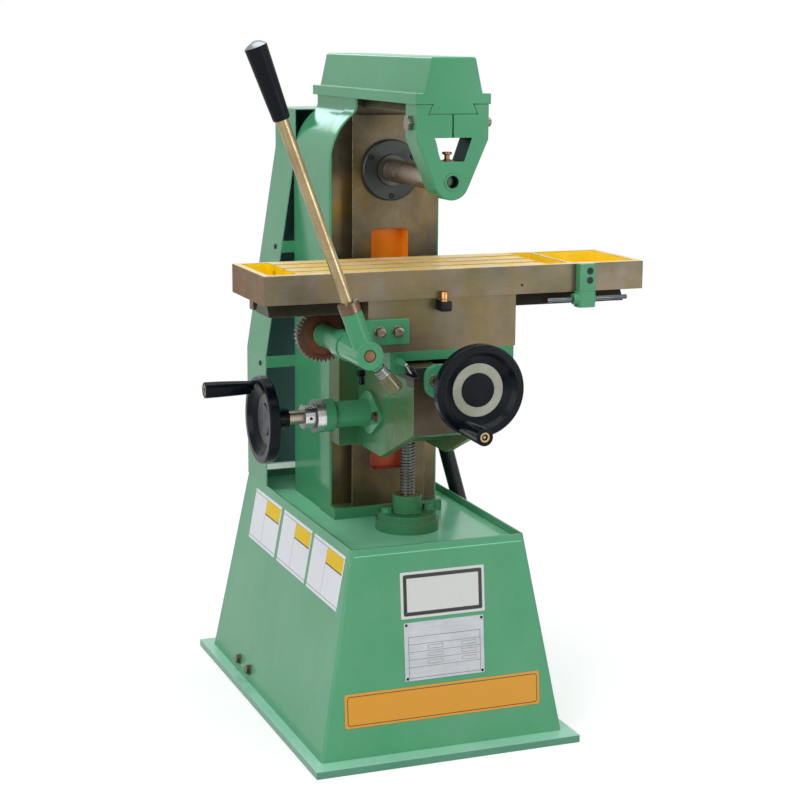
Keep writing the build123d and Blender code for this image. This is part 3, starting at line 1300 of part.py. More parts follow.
# Saddle: machined upper block over a lower block that wraps the knee's cross ways
RACK_TIP_Z = RACK_PITCH_Z - GEAR_MODULE
SLOT_CEILING = CROSS_WAYS_TOP + SADDLE_SLOT_AIR
CHANNEL_HALF = RACK_WIDTH / 2 + RACK_SIDE_AIR
with BuildPart() as saddle:
    with BuildSketch(facing_front(SADDLE_BACK)):
        with Locations((0, SADDLE_BED)):
            Rectangle(
                2 * SADDLE_HALF,
                TABLE_BOTTOM - SLIDE - SADDLE_BED,
                align=(Align.CENTER, Align.MIN),
            )
    extrude(amount=SADDLE_DEPTH)
    with BuildSketch(facing_front(SADDLE_BACK)) as lower_view:
        Polygon(
            (-SADDLE_LOWER_LEFT, KNEE_TOP + SLIDE),
            (SADDLE_LOWER_RIGHT, KNEE_TOP + SLIDE),
            (SADDLE_LOWER_RIGHT, SADDLE_BED),
            (-SADDLE_LOWER_LEFT, SADDLE_BED),
        )
        fillet(lower_view.vertices().group_by(Axis.Y)[0].sort_by(Axis.X)[-1], SADDLE_CORNER_R)
    extrude(amount=SADDLE_DEPTH)
    with BuildSketch(facing_front(SADDLE_BACK)):
        dovetail_slot(
            0,
            CROSS_WAYS_ROOT_HALF,
            CROSS_WAYS_HALF,
            KNEE_TOP,
            CROSS_WAYS_TOP,
            SADDLE_SLOT_AIR,
            left=GIB_THICK,
        )
    extrude(amount=SADDLE_DEPTH, mode=Mode.SUBTRACT)
    with BuildSketch(facing_right(-SADDLE_HALF)):
        dovetail_slot(
            TABLE_WAYS_Y, TABLE_WAYS_ROOT_HALF, TABLE_WAYS_HALF, TABLE_BOTTOM, TABLE_WAYS_BOTTOM, FREE
        )
        with Locations((GEAR_Y, TABLE_BOTTOM)):
            Rectangle(
                2 * CHANNEL_HALF,
                TABLE_BOTTOM - RACK_TIP_Z + RACK_SIDE_AIR,
                align=(Align.CENTER, Align.MAX),
            )
    extrude(amount=2 * SADDLE_HALF, mode=Mode.SUBTRACT)
    with BuildSketch(facing_right(-SADDLE_HALF)):
        with Locations((GEAR_Y, TABLE_BOTTOM)):
            Rectangle(2 * CHANNEL_HALF, TABLE_BOTTOM - SADDLE_BED, align=(Align.CENTER, Align.MAX))
    pocket_reach = FEED_X + PITCH_R + GEAR_MODULE + RACK_SIDE_AIR
    extrude(amount=pocket_reach + SADDLE_HALF, mode=Mode.SUBTRACT)
save(saddle, "saddle")

with BuildPart() as saddle_gib:
    with BuildSketch(facing_front(SADDLE_BACK)):
        Polygon(
            (-CROSS_WAYS_ROOT_HALF - GIB_THICK, KNEE_TOP + SLIDE),
            (-CROSS_WAYS_ROOT_HALF - SLIDE, KNEE_TOP + SLIDE),
            (-CROSS_WAYS_HALF - SLIDE, CROSS_WAYS_TOP),
            (-CROSS_WAYS_HALF - GIB_THICK, CROSS_WAYS_TOP),
        )
    extrude(amount=SADDLE_DEPTH)
save(saddle_gib, "saddle_gib")

# Nut of the cross screw, hung under the saddle in the knee's groove
with BuildPart() as cross_nut:
    nut_half = CROSS_GROOVE_HALF - RACK_SIDE_AIR
    with BuildSketch(facing_front((SADDLE_FRONT + SADDLE_BACK + CROSS_NUT_LENGTH) / 2)):
        with Locations((0, SLOT_CEILING)):
            Rectangle(
                2 * nut_half,
                SLOT_CEILING - CROSS_GROOVE_BOTTOM - RACK_SIDE_AIR,
                align=(Align.CENTER, Align.MAX),
            )
        with Locations((0, CROSS_Z)):
            Circle(CROSS_SCREW_R + RUNNING, mode=Mode.SUBTRACT)
    extrude(amount=CROSS_NUT_LENGTH)
save(cross_nut, "cross_nut")

# Table with T-slots that run into coolant pans at both ends
LEFT_PAN_END = TABLE_LEFT + PAN_RIM + LEFT_PAN
RIGHT_PAN_START = TABLE_RIGHT - PAN_RIM - RIGHT_PAN
CHANNEL_START = RIGHT_PAN_START - PAN_BRIDGE - CHANNEL_PAN
with BuildPart() as table:
    with BuildSketch(level(TABLE_BOTTOM)):
        with Locations((TABLE_X, TABLE_MID_Y)):
            Rectangle(TABLE_LENGTH, TABLE_DEPTH)
    extrude(amount=TABLE_THICK)
    chamfer(table.faces().sort_by(Axis.Z)[-1].edges(), TABLE_EDGE)
    with BuildSketch(facing_right(TABLE_LEFT + TABLE_WAYS_INSET)):
        dovetail(TABLE_WAYS_Y, TABLE_WAYS_ROOT_HALF, TABLE_WAYS_HALF, TABLE_BOTTOM, TABLE_WAYS_BOTTOM)
    extrude(amount=TABLE_LENGTH - 2 * TABLE_WAYS_INSET)
    with BuildSketch(level(TABLE_TOP)):
        for pan_start, pan_length in (
            (TABLE_LEFT + PAN_RIM, LEFT_PAN),
            (CHANNEL_START, CHANNEL_PAN),
            (RIGHT_PAN_START, RIGHT_PAN),
        ):
            with Locations((pan_start + pan_length / 2, TABLE_MID_Y)):
                RectangleRounded(pan_length, TABLE_DEPTH - 2 * PAN_RIM, PAN_CORNER_R)
    extrude(amount=-PAN_DEPTH, mode=Mode.SUBTRACT)
    with BuildSketch(facing_right(LEFT_PAN_END - PAN_CORNER_R)):
        for number in range(SLOT_COUNT):
            slot_y = TABLE_MID_Y + (number - (SLOT_COUNT - 1) / 2) * SLOT_SPACING
            with Locations((slot_y, TABLE_TOP)):
                Rectangle(SLOT_NECK, PAN_DEPTH, align=(Align.CENTER, Align.MAX))
            with Locations((slot_y, TABLE_TOP - SLOT_NECK_DEPTH)):
                Rectangle(SLOT_WIDTH, SLOT_HEIGHT, align=(Align.CENTER, Align.MAX))
    extrude(amount=CHANNEL_START - LEFT_PAN_END + 2 * PAN_CORNER_R, mode=Mode.SUBTRACT)
save(table, "table")


def involute(angle):
    """Involute of an angle, the roll that a gear flank gains between its base and a point."""
    return tan(angle) - angle


def flank_half_angle(radius):
    """Half the angle that a gear tooth fills at a radius, from the involute of its base circle."""
    base_r = PITCH_R * cos(PRESSURE_ANGLE)
    pitch_half = (pi * GEAR_MODULE / 2 - GEAR_BACKLASH) / (2 * PITCH_R)
    if radius <= base_r:
        return pitch_half + involute(PRESSURE_ANGLE)
    slope = atan2((radius ** 2 - base_r ** 2) ** 0.5, base_r)
    return pitch_half + involute(PRESSURE_ANGLE) - involute(slope)


def gear_outline():
    """Tooth tips and flanks of the feed gear, with a gap at the top for the rack."""
    radii = (
        GEAR_ROOT_R,
        PITCH_R - GEAR_MODULE / 2,
        PITCH_R,
        PITCH_R + GEAR_MODULE / 2,
        PITCH_R + GEAR_MODULE,
    )
    outline = []
    for number in range(GEAR_TEETH):
        middle = pi / 2 - (number + 0.5) * 2 * pi / GEAR_TEETH
        for side, ordered in ((1, radii), (-1, tuple(reversed(radii)))):
            for radius in ordered:
                angle = middle + side * flank_half_angle(radius)
                outline.append((radius * cos(angle), radius * sin(angle)))
    return outline


# Feed gear under the table's rack
with BuildPart() as feed_gear:
    with BuildSketch(facing_front(GEAR_Y + GEAR_WIDTH / 2)):
        with Locations((FEED_X, FEED_Z)):
            Polygon(*gear_outline())
            Circle(FEED_SHAFT_R + RUNNING, mode=Mode.SUBTRACT)
    extrude(amount=GEAR_WIDTH)
    with BuildSketch(facing_front(GEAR_Y - GEAR_WIDTH / 2)):
        with Locations((FEED_X, FEED_Z)):
            Circle(GEAR_ROOT_R - GEAR_RIM)
            Circle(GEAR_HUB_R, mode=Mode.SUBTRACT)
    extrude(amount=-GEAR_WEB_SINK, mode=Mode.SUBTRACT)
save(feed_gear, "feed_gear")

# Rack bar under the table, its teeth in step with the feed gear
RACK_PITCH = pi * GEAR_MODULE
RACK_LEFT = TABLE_LEFT + TABLE_WAYS_INSET
RACK_RIGHT = TABLE_RIGHT - TABLE_WAYS_INSET
FIRST_TOOTH = int((RACK_LEFT - FEED_X) / RACK_PITCH) + 1
LAST_TOOTH = int((RACK_RIGHT - FEED_X) / RACK_PITCH) - 1
with BuildPart() as table_rack:
    rack_half = (RACK_PITCH / 2 - GEAR_BACKLASH) / 2
    tip_half = rack_half - GEAR_MODULE * tan(PRESSURE_ANGLE)
    root_half = rack_half + DEDENDUM * GEAR_MODULE * tan(PRESSURE_ANGLE)
    root_z = RACK_PITCH_Z + DEDENDUM * GEAR_MODULE
    teeth = []
    for number in range(FIRST_TOOTH, LAST_TOOTH + 1):
        tooth_x = FEED_X + number * RACK_PITCH
        teeth += [
            (tooth_x - root_half, root_z),
            (tooth_x - tip_half, RACK_TIP_Z),
            (tooth_x + tip_half, RACK_TIP_Z),
            (tooth_x + root_half, root_z),
        ]
    with BuildSketch(facing_front(GEAR_Y + RACK_WIDTH / 2)):
        Polygon(
            (RACK_LEFT, TABLE_BOTTOM),
            (RACK_LEFT, root_z),
            *teeth,
            (RACK_RIGHT, root_z),
            (RACK_RIGHT, TABLE_BOTTOM),
        )
    extrude(amount=RACK_WIDTH)
save(table_rack, "table_rack")

# Stop block on the table's front, with a foot and a sleeve that hold the stop rod
STOP_BOTTOM = TABLE_BOTTOM - STOP_DROP
STOP_ROD_Y = TABLE_FRONT - STOP_FOOT_THICK / 2
STOP_ROD_Z = TABLE_BOTTOM - STOP_ROD_DROP
with BuildPart() as stop_block:
    with BuildSketch(facing_front(TABLE_FRONT)):
        with Locations((STOP_X, STOP_BOTTOM)):
            Rectangle(STOP_WIDTH, TABLE_TOP - STOP_BOTTOM, align=(Align.CENTER, Align.MIN))
    extrude(amount=STOP_THICK)
    with BuildSketch(level(STOP_BOTTOM)) as foot_view:
        with Locations((STOP_X + STOP_WIDTH / 2, TABLE_FRONT)):
            Rectangle(STOP_FOOT_WIDTH, STOP_FOOT_THICK, align=(Align.MAX, Align.MAX))
        chamfer(foot_view.vertices().group_by(Axis.Y)[0], STOP_FOOT_CHAMFER)
    extrude(amount=STOP_FOOT_HEIGHT)
    sleeve_length = STOP_FOOT_WIDTH + STOP_SLEEVE_REACH
    with BuildSketch(facing_right(STOP_X + STOP_WIDTH / 2 - sleeve_length)):
        with Locations((STOP_ROD_Y, STOP_ROD_Z)):
            Circle(STOP_SLEEVE_R)
    extrude(amount=sleeve_length)
    with BuildSketch(facing_right(STOP_X + STOP_WIDTH / 2 - sleeve_length)):
        with Locations((STOP_ROD_Y, STOP_ROD_Z)):
            Circle(STOP_ROD_R + RUNNING)
    extrude(amount=sleeve_length, mode=Mode.SUBTRACT)
save(stop_block, "stop_block")

with BuildPart() as stop_rod:
    with BuildSketch(facing_right(STOP_X + STOP_ROD_SHIFT - STOP_ROD_LENGTH / 2)):
        with Locations((STOP_ROD_Y, STOP_ROD_Z)):
            Circle(STOP_ROD_R)
    extrude(amount=STOP_ROD_LENGTH)
    chamfer(stop_rod.edges().filter_by(GeomType.CIRCLE), STOP_ROD_R / 4)
save(stop_rod, "stop_rod")

# Stop dog on the saddle's front, with a hexagon that stands before the table's edge
DOG_TOP = TABLE_BOTTOM - GAP
DOG_HEX_Y = TABLE_FRONT - DOG_HEX / 2 - GAP
with BuildPart() as stop_dog:
    with BuildSketch(facing_front(SADDLE_FRONT)):
        with Locations((0, DOG_TOP)):
            Rectangle(DOG_WIDTH, DOG_HEIGHT, align=(Align.CENTER, Align.MAX))
    extrude(amount=DOG_REACH)
    with BuildSketch(level(DOG_TOP)):
        with Locations((0, DOG_HEX_Y)):
            RegularPolygon(DOG_HEX / 2, 6, major_radius=False)
    extrude(amount=DOG_HEX_HEIGHT)
save(stop_dog, "stop_dog")

# Feed housing: sleeve for the lever's shaft, with a plate bolted to the saddle's front
GEAR_FRONT = GEAR_Y - GEAR_WIDTH / 2
COLLAR_BACK = FEED_COLLAR_FRONT + FEED_COLLAR_LENGTH
with BuildPart() as feed_housing:
    with BuildSketch(facing_front(COLLAR_BACK)):
        with Locations((FEED_X, FEED_Z)):
            Circle(FEED_COLLAR_R)
    extrude(amount=FEED_COLLAR_LENGTH)
    with BuildSketch(facing_front(GEAR_FRONT - GAP)):
        with Locations((FEED_X, FEED_Z)):
            Circle(FEED_SLEEVE_R)
    extrude(amount=GEAR_FRONT - GAP - COLLAR_BACK)
    with BuildSketch(facing_front(SADDLE_FRONT)):
        with Locations((FEED_PLATE_RIGHT, FEED_PLATE_TOP)):
            Rectangle(FEED_PLATE_LENGTH, FEED_PLATE_HEIGHT, align=(Align.MAX, Align.MAX))
    extrude(amount=FEED_PLATE_THICK)
    with BuildSketch(facing_front(GEAR_FRONT)):
        with Locations((FEED_X, FEED_Z)):
            Circle(FEED_SHAFT_R + RUNNING)
    extrude(amount=GEAR_FRONT - FEED_COLLAR_FRONT, mode=Mode.SUBTRACT)
save(feed_housing, "feed_housing")

with BuildPart() as feed_housing_bolts:
    for side in (-1, 1):
        bolt_x = FEED_BOLT_X + side * FEED_BOLT_SPACING / 2
        bolt_point = (bolt_x, SADDLE_FRONT - FEED_PLATE_THICK, FEED_PLATE_TOP - FEED_PLATE_HEIGHT / 2)
        hex_bolt(Plane(origin=bolt_point, x_dir=(1, 0, 0), z_dir=(0, -1, 0)))
save(feed_housing_bolts, "feed_housing_bolts")

with BuildPart() as feed_shaft:
    with BuildSketch(facing_front(GEAR_Y + GEAR_WIDTH / 2)):
        with Locations((FEED_X, FEED_Z)):
            Circle(FEED_SHAFT_R)
    extrude(amount=GEAR_Y + GEAR_WIDTH / 2 - LEVER_HUB_FRONT)
save(feed_shaft, "feed_shaft")

# Lever hub: barrel on the feed shaft with a socket for the lever and a hole for the plunger
lever_way = Vector(-sin(radians(LEVER_LEAN)), 0, cos(radians(LEVER_LEAN)))
plunger_way = Vector(cos(radians(PLUNGER_ANGLE)), 0, sin(radians(PLUNGER_ANGLE)))
lever_pivot = Vector(FEED_X, LEVER_Y, FEED_Z)
with BuildPart() as lever_hub:
    with BuildSketch(facing_front(LEVER_HUB_FRONT + LEVER_HUB_LENGTH)):
        with Locations((FEED_X, FEED_Z)):
            Circle(LEVER_HUB_R)
    extrude(amount=LEVER_HUB_LENGTH)
    with BuildSketch(Plane(origin=lever_pivot, z_dir=lever_way)):
        Circle(LEVER_BOSS_R)
    extrude(amount=LEVER_BOSS_REACH)
    plunger_root = LEVER_HUB_R - PLUNGER_DEPTH - GAP
    with BuildSketch(Plane(origin=lever_pivot + plunger_way * plunger_root, z_dir=plunger_way)):
        Circle(PLUNGER_BOSS_R)
    extrude(amount=PLUNGER_BOSS_REACH - plunger_root)
    with BuildSketch(facing_front(LEVER_HUB_FRONT + LEVER_HUB_LENGTH)):
        with Locations((FEED_X, FEED_Z)):
            Circle(FEED_SHAFT_R + RUNNING)
    extrude(amount=LEVER_HUB_LENGTH, mode=Mode.SUBTRACT)
    with BuildSketch(Plane(origin=lever_pivot + lever_way * LEVER_ROD_START, z_dir=lever_way)):
        Circle(LEVER_ROD_R + RUNNING)
    extrude(amount=LEVER_BOSS_REACH - LEVER_ROD_START, mode=Mode.SUBTRACT)
    with BuildSketch(Plane(origin=lever_pivot + plunger_way * plunger_root, z_dir=plunger_way)):
        Circle(PLUNGER_STEM_R + RUNNING)
    extrude(amount=PLUNGER_BOSS_REACH - plunger_root, mode=Mode.SUBTRACT)
save(lever_hub, "lever_hub")

with BuildPart() as lever_collar:
    with BuildSketch(Plane(origin=lever_pivot + lever_way * LEVER_BOSS_REACH, z_dir=lever_way)):
        Circle(LEVER_COLLAR_R)
        Circle(LEVER_ROD_R + RUNNING, mode=Mode.SUBTRACT)
    extrude(amount=LEVER_COLLAR_LENGTH)
save(lever_collar, "lever_collar")

with BuildPart() as lever_rod:
    with BuildSketch(Plane(origin=lever_pivot + lever_way * LEVER_ROD_START, z_dir=lever_way)):
        Circle(LEVER_ROD_R)
    extrude(amount=LEVER_ROD_END - LEVER_ROD_START)
save(lever_rod, "lever_rod")

# Tapered grip with a domed end
grip_seat = axial_plane(lever_pivot, lever_way, (0, 1, 0))
with BuildPart() as lever_grip:
    with BuildSketch(grip_seat):
        with BuildLine():
            flare_side = Polyline(
                (GRIP_START, LEVER_ROD_R + RUNNING),
                (GRIP_START, GRIP_BASE_R - GRIP_CHAMFER),
                (GRIP_START + 2 * GRIP_CHAMFER, GRIP_BASE_R),
                (GRIP_END - GRIP_TOP_R / 2, GRIP_TOP_R),
            )
            dome = TangentArc((GRIP_END, 0), flare_side @ 1, tangent=(0, 1))
            Polyline(
                dome @ 0,
                (LEVER_ROD_END, 0),
                (LEVER_ROD_END, LEVER_ROD_R + RUNNING),
                flare_side @ 0,
            )
        make_face()
    revolve(axis=Axis(grip_seat.origin, grip_seat.x_dir))
save(lever_grip, "lever_grip")

# Index plunger: sprung stem with a grooved ring and a plain knob
plunger_seat = axial_plane(lever_pivot, plunger_way, (0, 1, 0))
with BuildPart() as index_plunger:
    ring_start = PLUNGER_BOSS_REACH + FREE
    ring_end = ring_start + PLUNGER_RING_LENGTH
    body_end = ring_end + PLUNGER_BODY_LENGTH
    groove_r = PLUNGER_RING_R - PLUNGER_GROOVE
    with BuildSketch(plunger_seat) as plunger_section:
        Polygon(
            (LEVER_HUB_R - PLUNGER_DEPTH, 0),
            (LEVER_HUB_R - PLUNGER_DEPTH, PLUNGER_STEM_R),
            (ring_start, PLUNGER_STEM_R),
            (ring_start, PLUNGER_RING_R),
            (ring_end, PLUNGER_RING_R),
            (ring_end, PLUNGER_BODY_R),
            (body_end, PLUNGER_BODY_R),
            (body_end, 0),
        )
        for share in (0.33, 0.66):
            with Locations((ring_start + PLUNGER_RING_LENGTH * share, groove_r)):
                Rectangle(
                    2 * PLUNGER_GROOVE,
                    PLUNGER_GROOVE,
                    align=(Align.CENTER, Align.MIN),
                    mode=Mode.SUBTRACT,
                )
        knob_corner = plunger_section.vertices().sort_by_distance((body_end, PLUNGER_BODY_R))[0]
        fillet(knob_corner, PLUNGER_END_ROUND)
    revolve(axis=Axis(plunger_seat.origin, plunger_seat.x_dir))
save(index_plunger, "index_plunger")
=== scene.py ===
"""Looks of a hand-fed horizontal milling machine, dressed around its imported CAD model.

The CAD nodes keep their shapes and get worked finishes: enamel with bare machined zones, turned
steel, chrome, bronze and moulded black plastic. New pieces add what the CAD leaves to this file:
a cut thread, bolt heads, screws, wheel rings, lock levers, an oil cup, a stop dog and blank plates.
Lengths are in millimetres until a mesh or a shader takes them.
"""

import logging
import math
from dataclasses import dataclass, field, replace
from enum import Enum
from typing import Any, Callable, Sequence

import bpy
import numpy as np
from mathutils import Matrix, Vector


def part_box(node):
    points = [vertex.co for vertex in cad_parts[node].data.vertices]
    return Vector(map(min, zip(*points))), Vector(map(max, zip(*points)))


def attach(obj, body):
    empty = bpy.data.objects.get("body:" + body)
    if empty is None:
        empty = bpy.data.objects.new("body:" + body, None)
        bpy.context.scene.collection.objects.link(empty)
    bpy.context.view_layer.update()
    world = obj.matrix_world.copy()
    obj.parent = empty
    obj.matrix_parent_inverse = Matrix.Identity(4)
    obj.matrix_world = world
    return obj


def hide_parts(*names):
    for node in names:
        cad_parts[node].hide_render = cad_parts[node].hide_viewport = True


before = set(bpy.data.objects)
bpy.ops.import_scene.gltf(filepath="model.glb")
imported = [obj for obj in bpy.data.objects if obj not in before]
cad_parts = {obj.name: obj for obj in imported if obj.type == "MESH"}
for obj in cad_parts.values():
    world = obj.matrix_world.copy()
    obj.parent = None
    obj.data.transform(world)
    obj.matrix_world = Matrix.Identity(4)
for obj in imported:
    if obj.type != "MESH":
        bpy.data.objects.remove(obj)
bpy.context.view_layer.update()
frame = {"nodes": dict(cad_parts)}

log = logging.getLogger("mill")

Flat = tuple[float, float]
Vec = tuple[float, float, float]
Point = Vec | np.ndarray
Colour = tuple[float, float, float, float]
Socket = bpy.types.NodeSocket

MM = 0.001
TURN = 2 * math.pi
ALONG_X: Vec = (1.0, 0.0, 0.0)
ALONG_Y: Vec = (0.0, 1.0, 0.0)
UP: Vec = (0.0, 0.0, 1.0)
LEFT: Vec = (-1.0, 0.0, 0.0)
FRONT: Vec = (0.0, -1.0, 0.0)
WHITE: Colour = (1.0, 1.0, 1.0, 1.0)


def tint(red: float, green: float, blue: float) -> Colour:
    """Linear colour of a screen colour.

    Args:
        red: Red share, 0 to 255.
        green: Green share, 0 to 255.
        blue: Blue share, 0 to 255.

    Returns:
        The colour as a shader takes it, with full alpha.
    """
    share = np.array([red, green, blue]) / 255
    linear = np.where(share <= 0.04045, share / 12.92, ((share + 0.055) / 1.055) ** 2.4)
    return (float(linear[0]), float(linear[1]), float(linear[2]), 1.0)


def metres(point: Point) -> Vec:
    """A point or size in millimetres as metres."""
    return (point[0] * MM, point[1] * MM, point[2] * MM)


@dataclass(frozen=True)
class Box:
    """Box of a CAD node, by its low and its high corner."""

    low: np.ndarray
    high: np.ndarray

    @classmethod
    def of(cls, node: str) -> "Box":
        """The box of a node of the frame."""
        low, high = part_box(node)
        return cls(np.array(low) / MM, np.array(high) / MM)

    def middle(self) -> np.ndarray:
        """Its centre."""
        return (self.low + self.high) / 2


class Slot(Enum):
    """Names of material slots that new pieces are passed with."""

    STEEL = "turned_steel"
    DARK = "dark_steel"
    ALUMINIUM = "pulley_aluminium"
    BRASS = "bronze"


# Shader nodes


class Sheet:
    """A node tree with short ways to add and join its nodes."""

    def __init__(self, tree: bpy.types.NodeTree) -> None:
        """Work on this tree."""
        self.tree = tree

    @classmethod
    def clean(cls, owner: bpy.types.Material | bpy.types.World) -> "Sheet":
        """An empty sheet for a material or a world.

        Args:
            owner: What the nodes belong to.

        Returns:
            The sheet, without any node.
        """
        owner.use_nodes = True
        owner.node_tree.nodes.clear()
        return cls(owner.node_tree)

    def feed(self, socket: Socket, value: Any) -> None:
        """Join a socket to another one, or set its plain value.

        Args:
            socket: The input to feed.
            value: Another socket, or a plain value.
        """
        if isinstance(value, bpy.types.NodeSocket):
            self.tree.links.new(value, socket)
        else:
            socket.default_value = value

    def node(self, kind: str, inputs: dict[str | int, Any] | None = None, **settings: Any) -> bpy.types.Node:
        """Add a node.

        Args:
            kind: The node's type, without its common prefix.
            inputs: Values or sockets for its inputs, by name or by number.
            settings: Properties of the node itself.

        Returns:
            The new node.
        """
        made = self.tree.nodes.new("ShaderNode" + kind)
        for name, value in settings.items():
            setattr(made, name, value)
        for key, value in (inputs or {}).items():
            self.feed(made.inputs[key], value)
        return made

    def maths(self, operation: str, *values: Any) -> Socket:
        """Result of one arithmetic step on numbers or sockets."""
        return self.node("Math", dict(enumerate(values)), operation=operation).outputs[0]

    def vector(self, operation: str, *values: Any) -> Socket:
        """Result of one step on vectors.

        Args:
            operation: The step's name.
            values: Plain vectors or sockets.

        Returns:
            A vector, or a number where the step gives one.
        """
        single = operation in ("DOT_PRODUCT", "LENGTH", "DISTANCE")
        made = self.node("VectorMath", dict(enumerate(values)), operation=operation)
        return made.outputs["Value" if single else "Vector"]

    def parts(self, vector: Socket) -> tuple[Socket, Socket, Socket]:
        """The three parts of a vector."""
        made = self.node("SeparateXYZ", {"Vector": vector})
        return made.outputs[0], made.outputs[1], made.outputs[2]

    def noise(self, vector: Any, scale: float, detail: float = 2.0, rough: float = 0.5) -> Socket:
        """Soft noise between 0 and 1 that reads a place."""
        inputs = {"Vector": vector, "Scale": scale, "Detail": detail, "Roughness": rough}
        return self.node("TexNoise", inputs).outputs[0]

    def remap(self, value: Any, source: Flat, target: Flat = (0.0, 1.0)) -> Socket:
        """A value carried from one range to another and held at its ends."""
        ends = dict(zip(("From Min", "From Max", "To Min", "To Max"), (*source, *target)))
        return self.node("MapRange", {"Value": value, **ends}).outputs[0]

    def mix(self, share: Any, first: Any, second: Any) -> Socket:
        """Blend of two colours."""
        return self.node("Mix", {0: share, 6: first, 7: second}, data_type="RGBA").outputs[2]

    def blend(self, share: Any, first: Any, second: Any) -> Socket:
        """Blend of two numbers."""
        return self.node("Mix", {0: share, 2: first, 3: second}, data_type="FLOAT").outputs[0]

    def shade(self, colour: Any, value: Any, saturation: Any = 1.0) -> Socket:
        """A colour made lighter or darker, and duller or richer."""
        inputs = {"Color": colour, "Value": value, "Saturation": saturation}
        return self.node("HueSaturation", inputs).outputs[0]


class Kind(Enum):
    """Kinds of socket that a node group has."""

    NUMBER = "NodeSocketFloat"
    VECTOR = "NodeSocketVector"
    COLOUR = "NodeSocketColor"


class Effect(Enum):
    """Effects that several finishes share, each one node group."""

    ZONE = "BoxZone"
    ENAMEL = "EnamelFilm"
    MACHINED = "MachinedFace"
    TURNED = "TurnedFace"
    MOULDED = "MouldedSkin"
    EDGE = "RoundedEdge"
    RULE = "RuledFrame"
    SEAM = "SeamLine"
    DIAL = "DialLines"


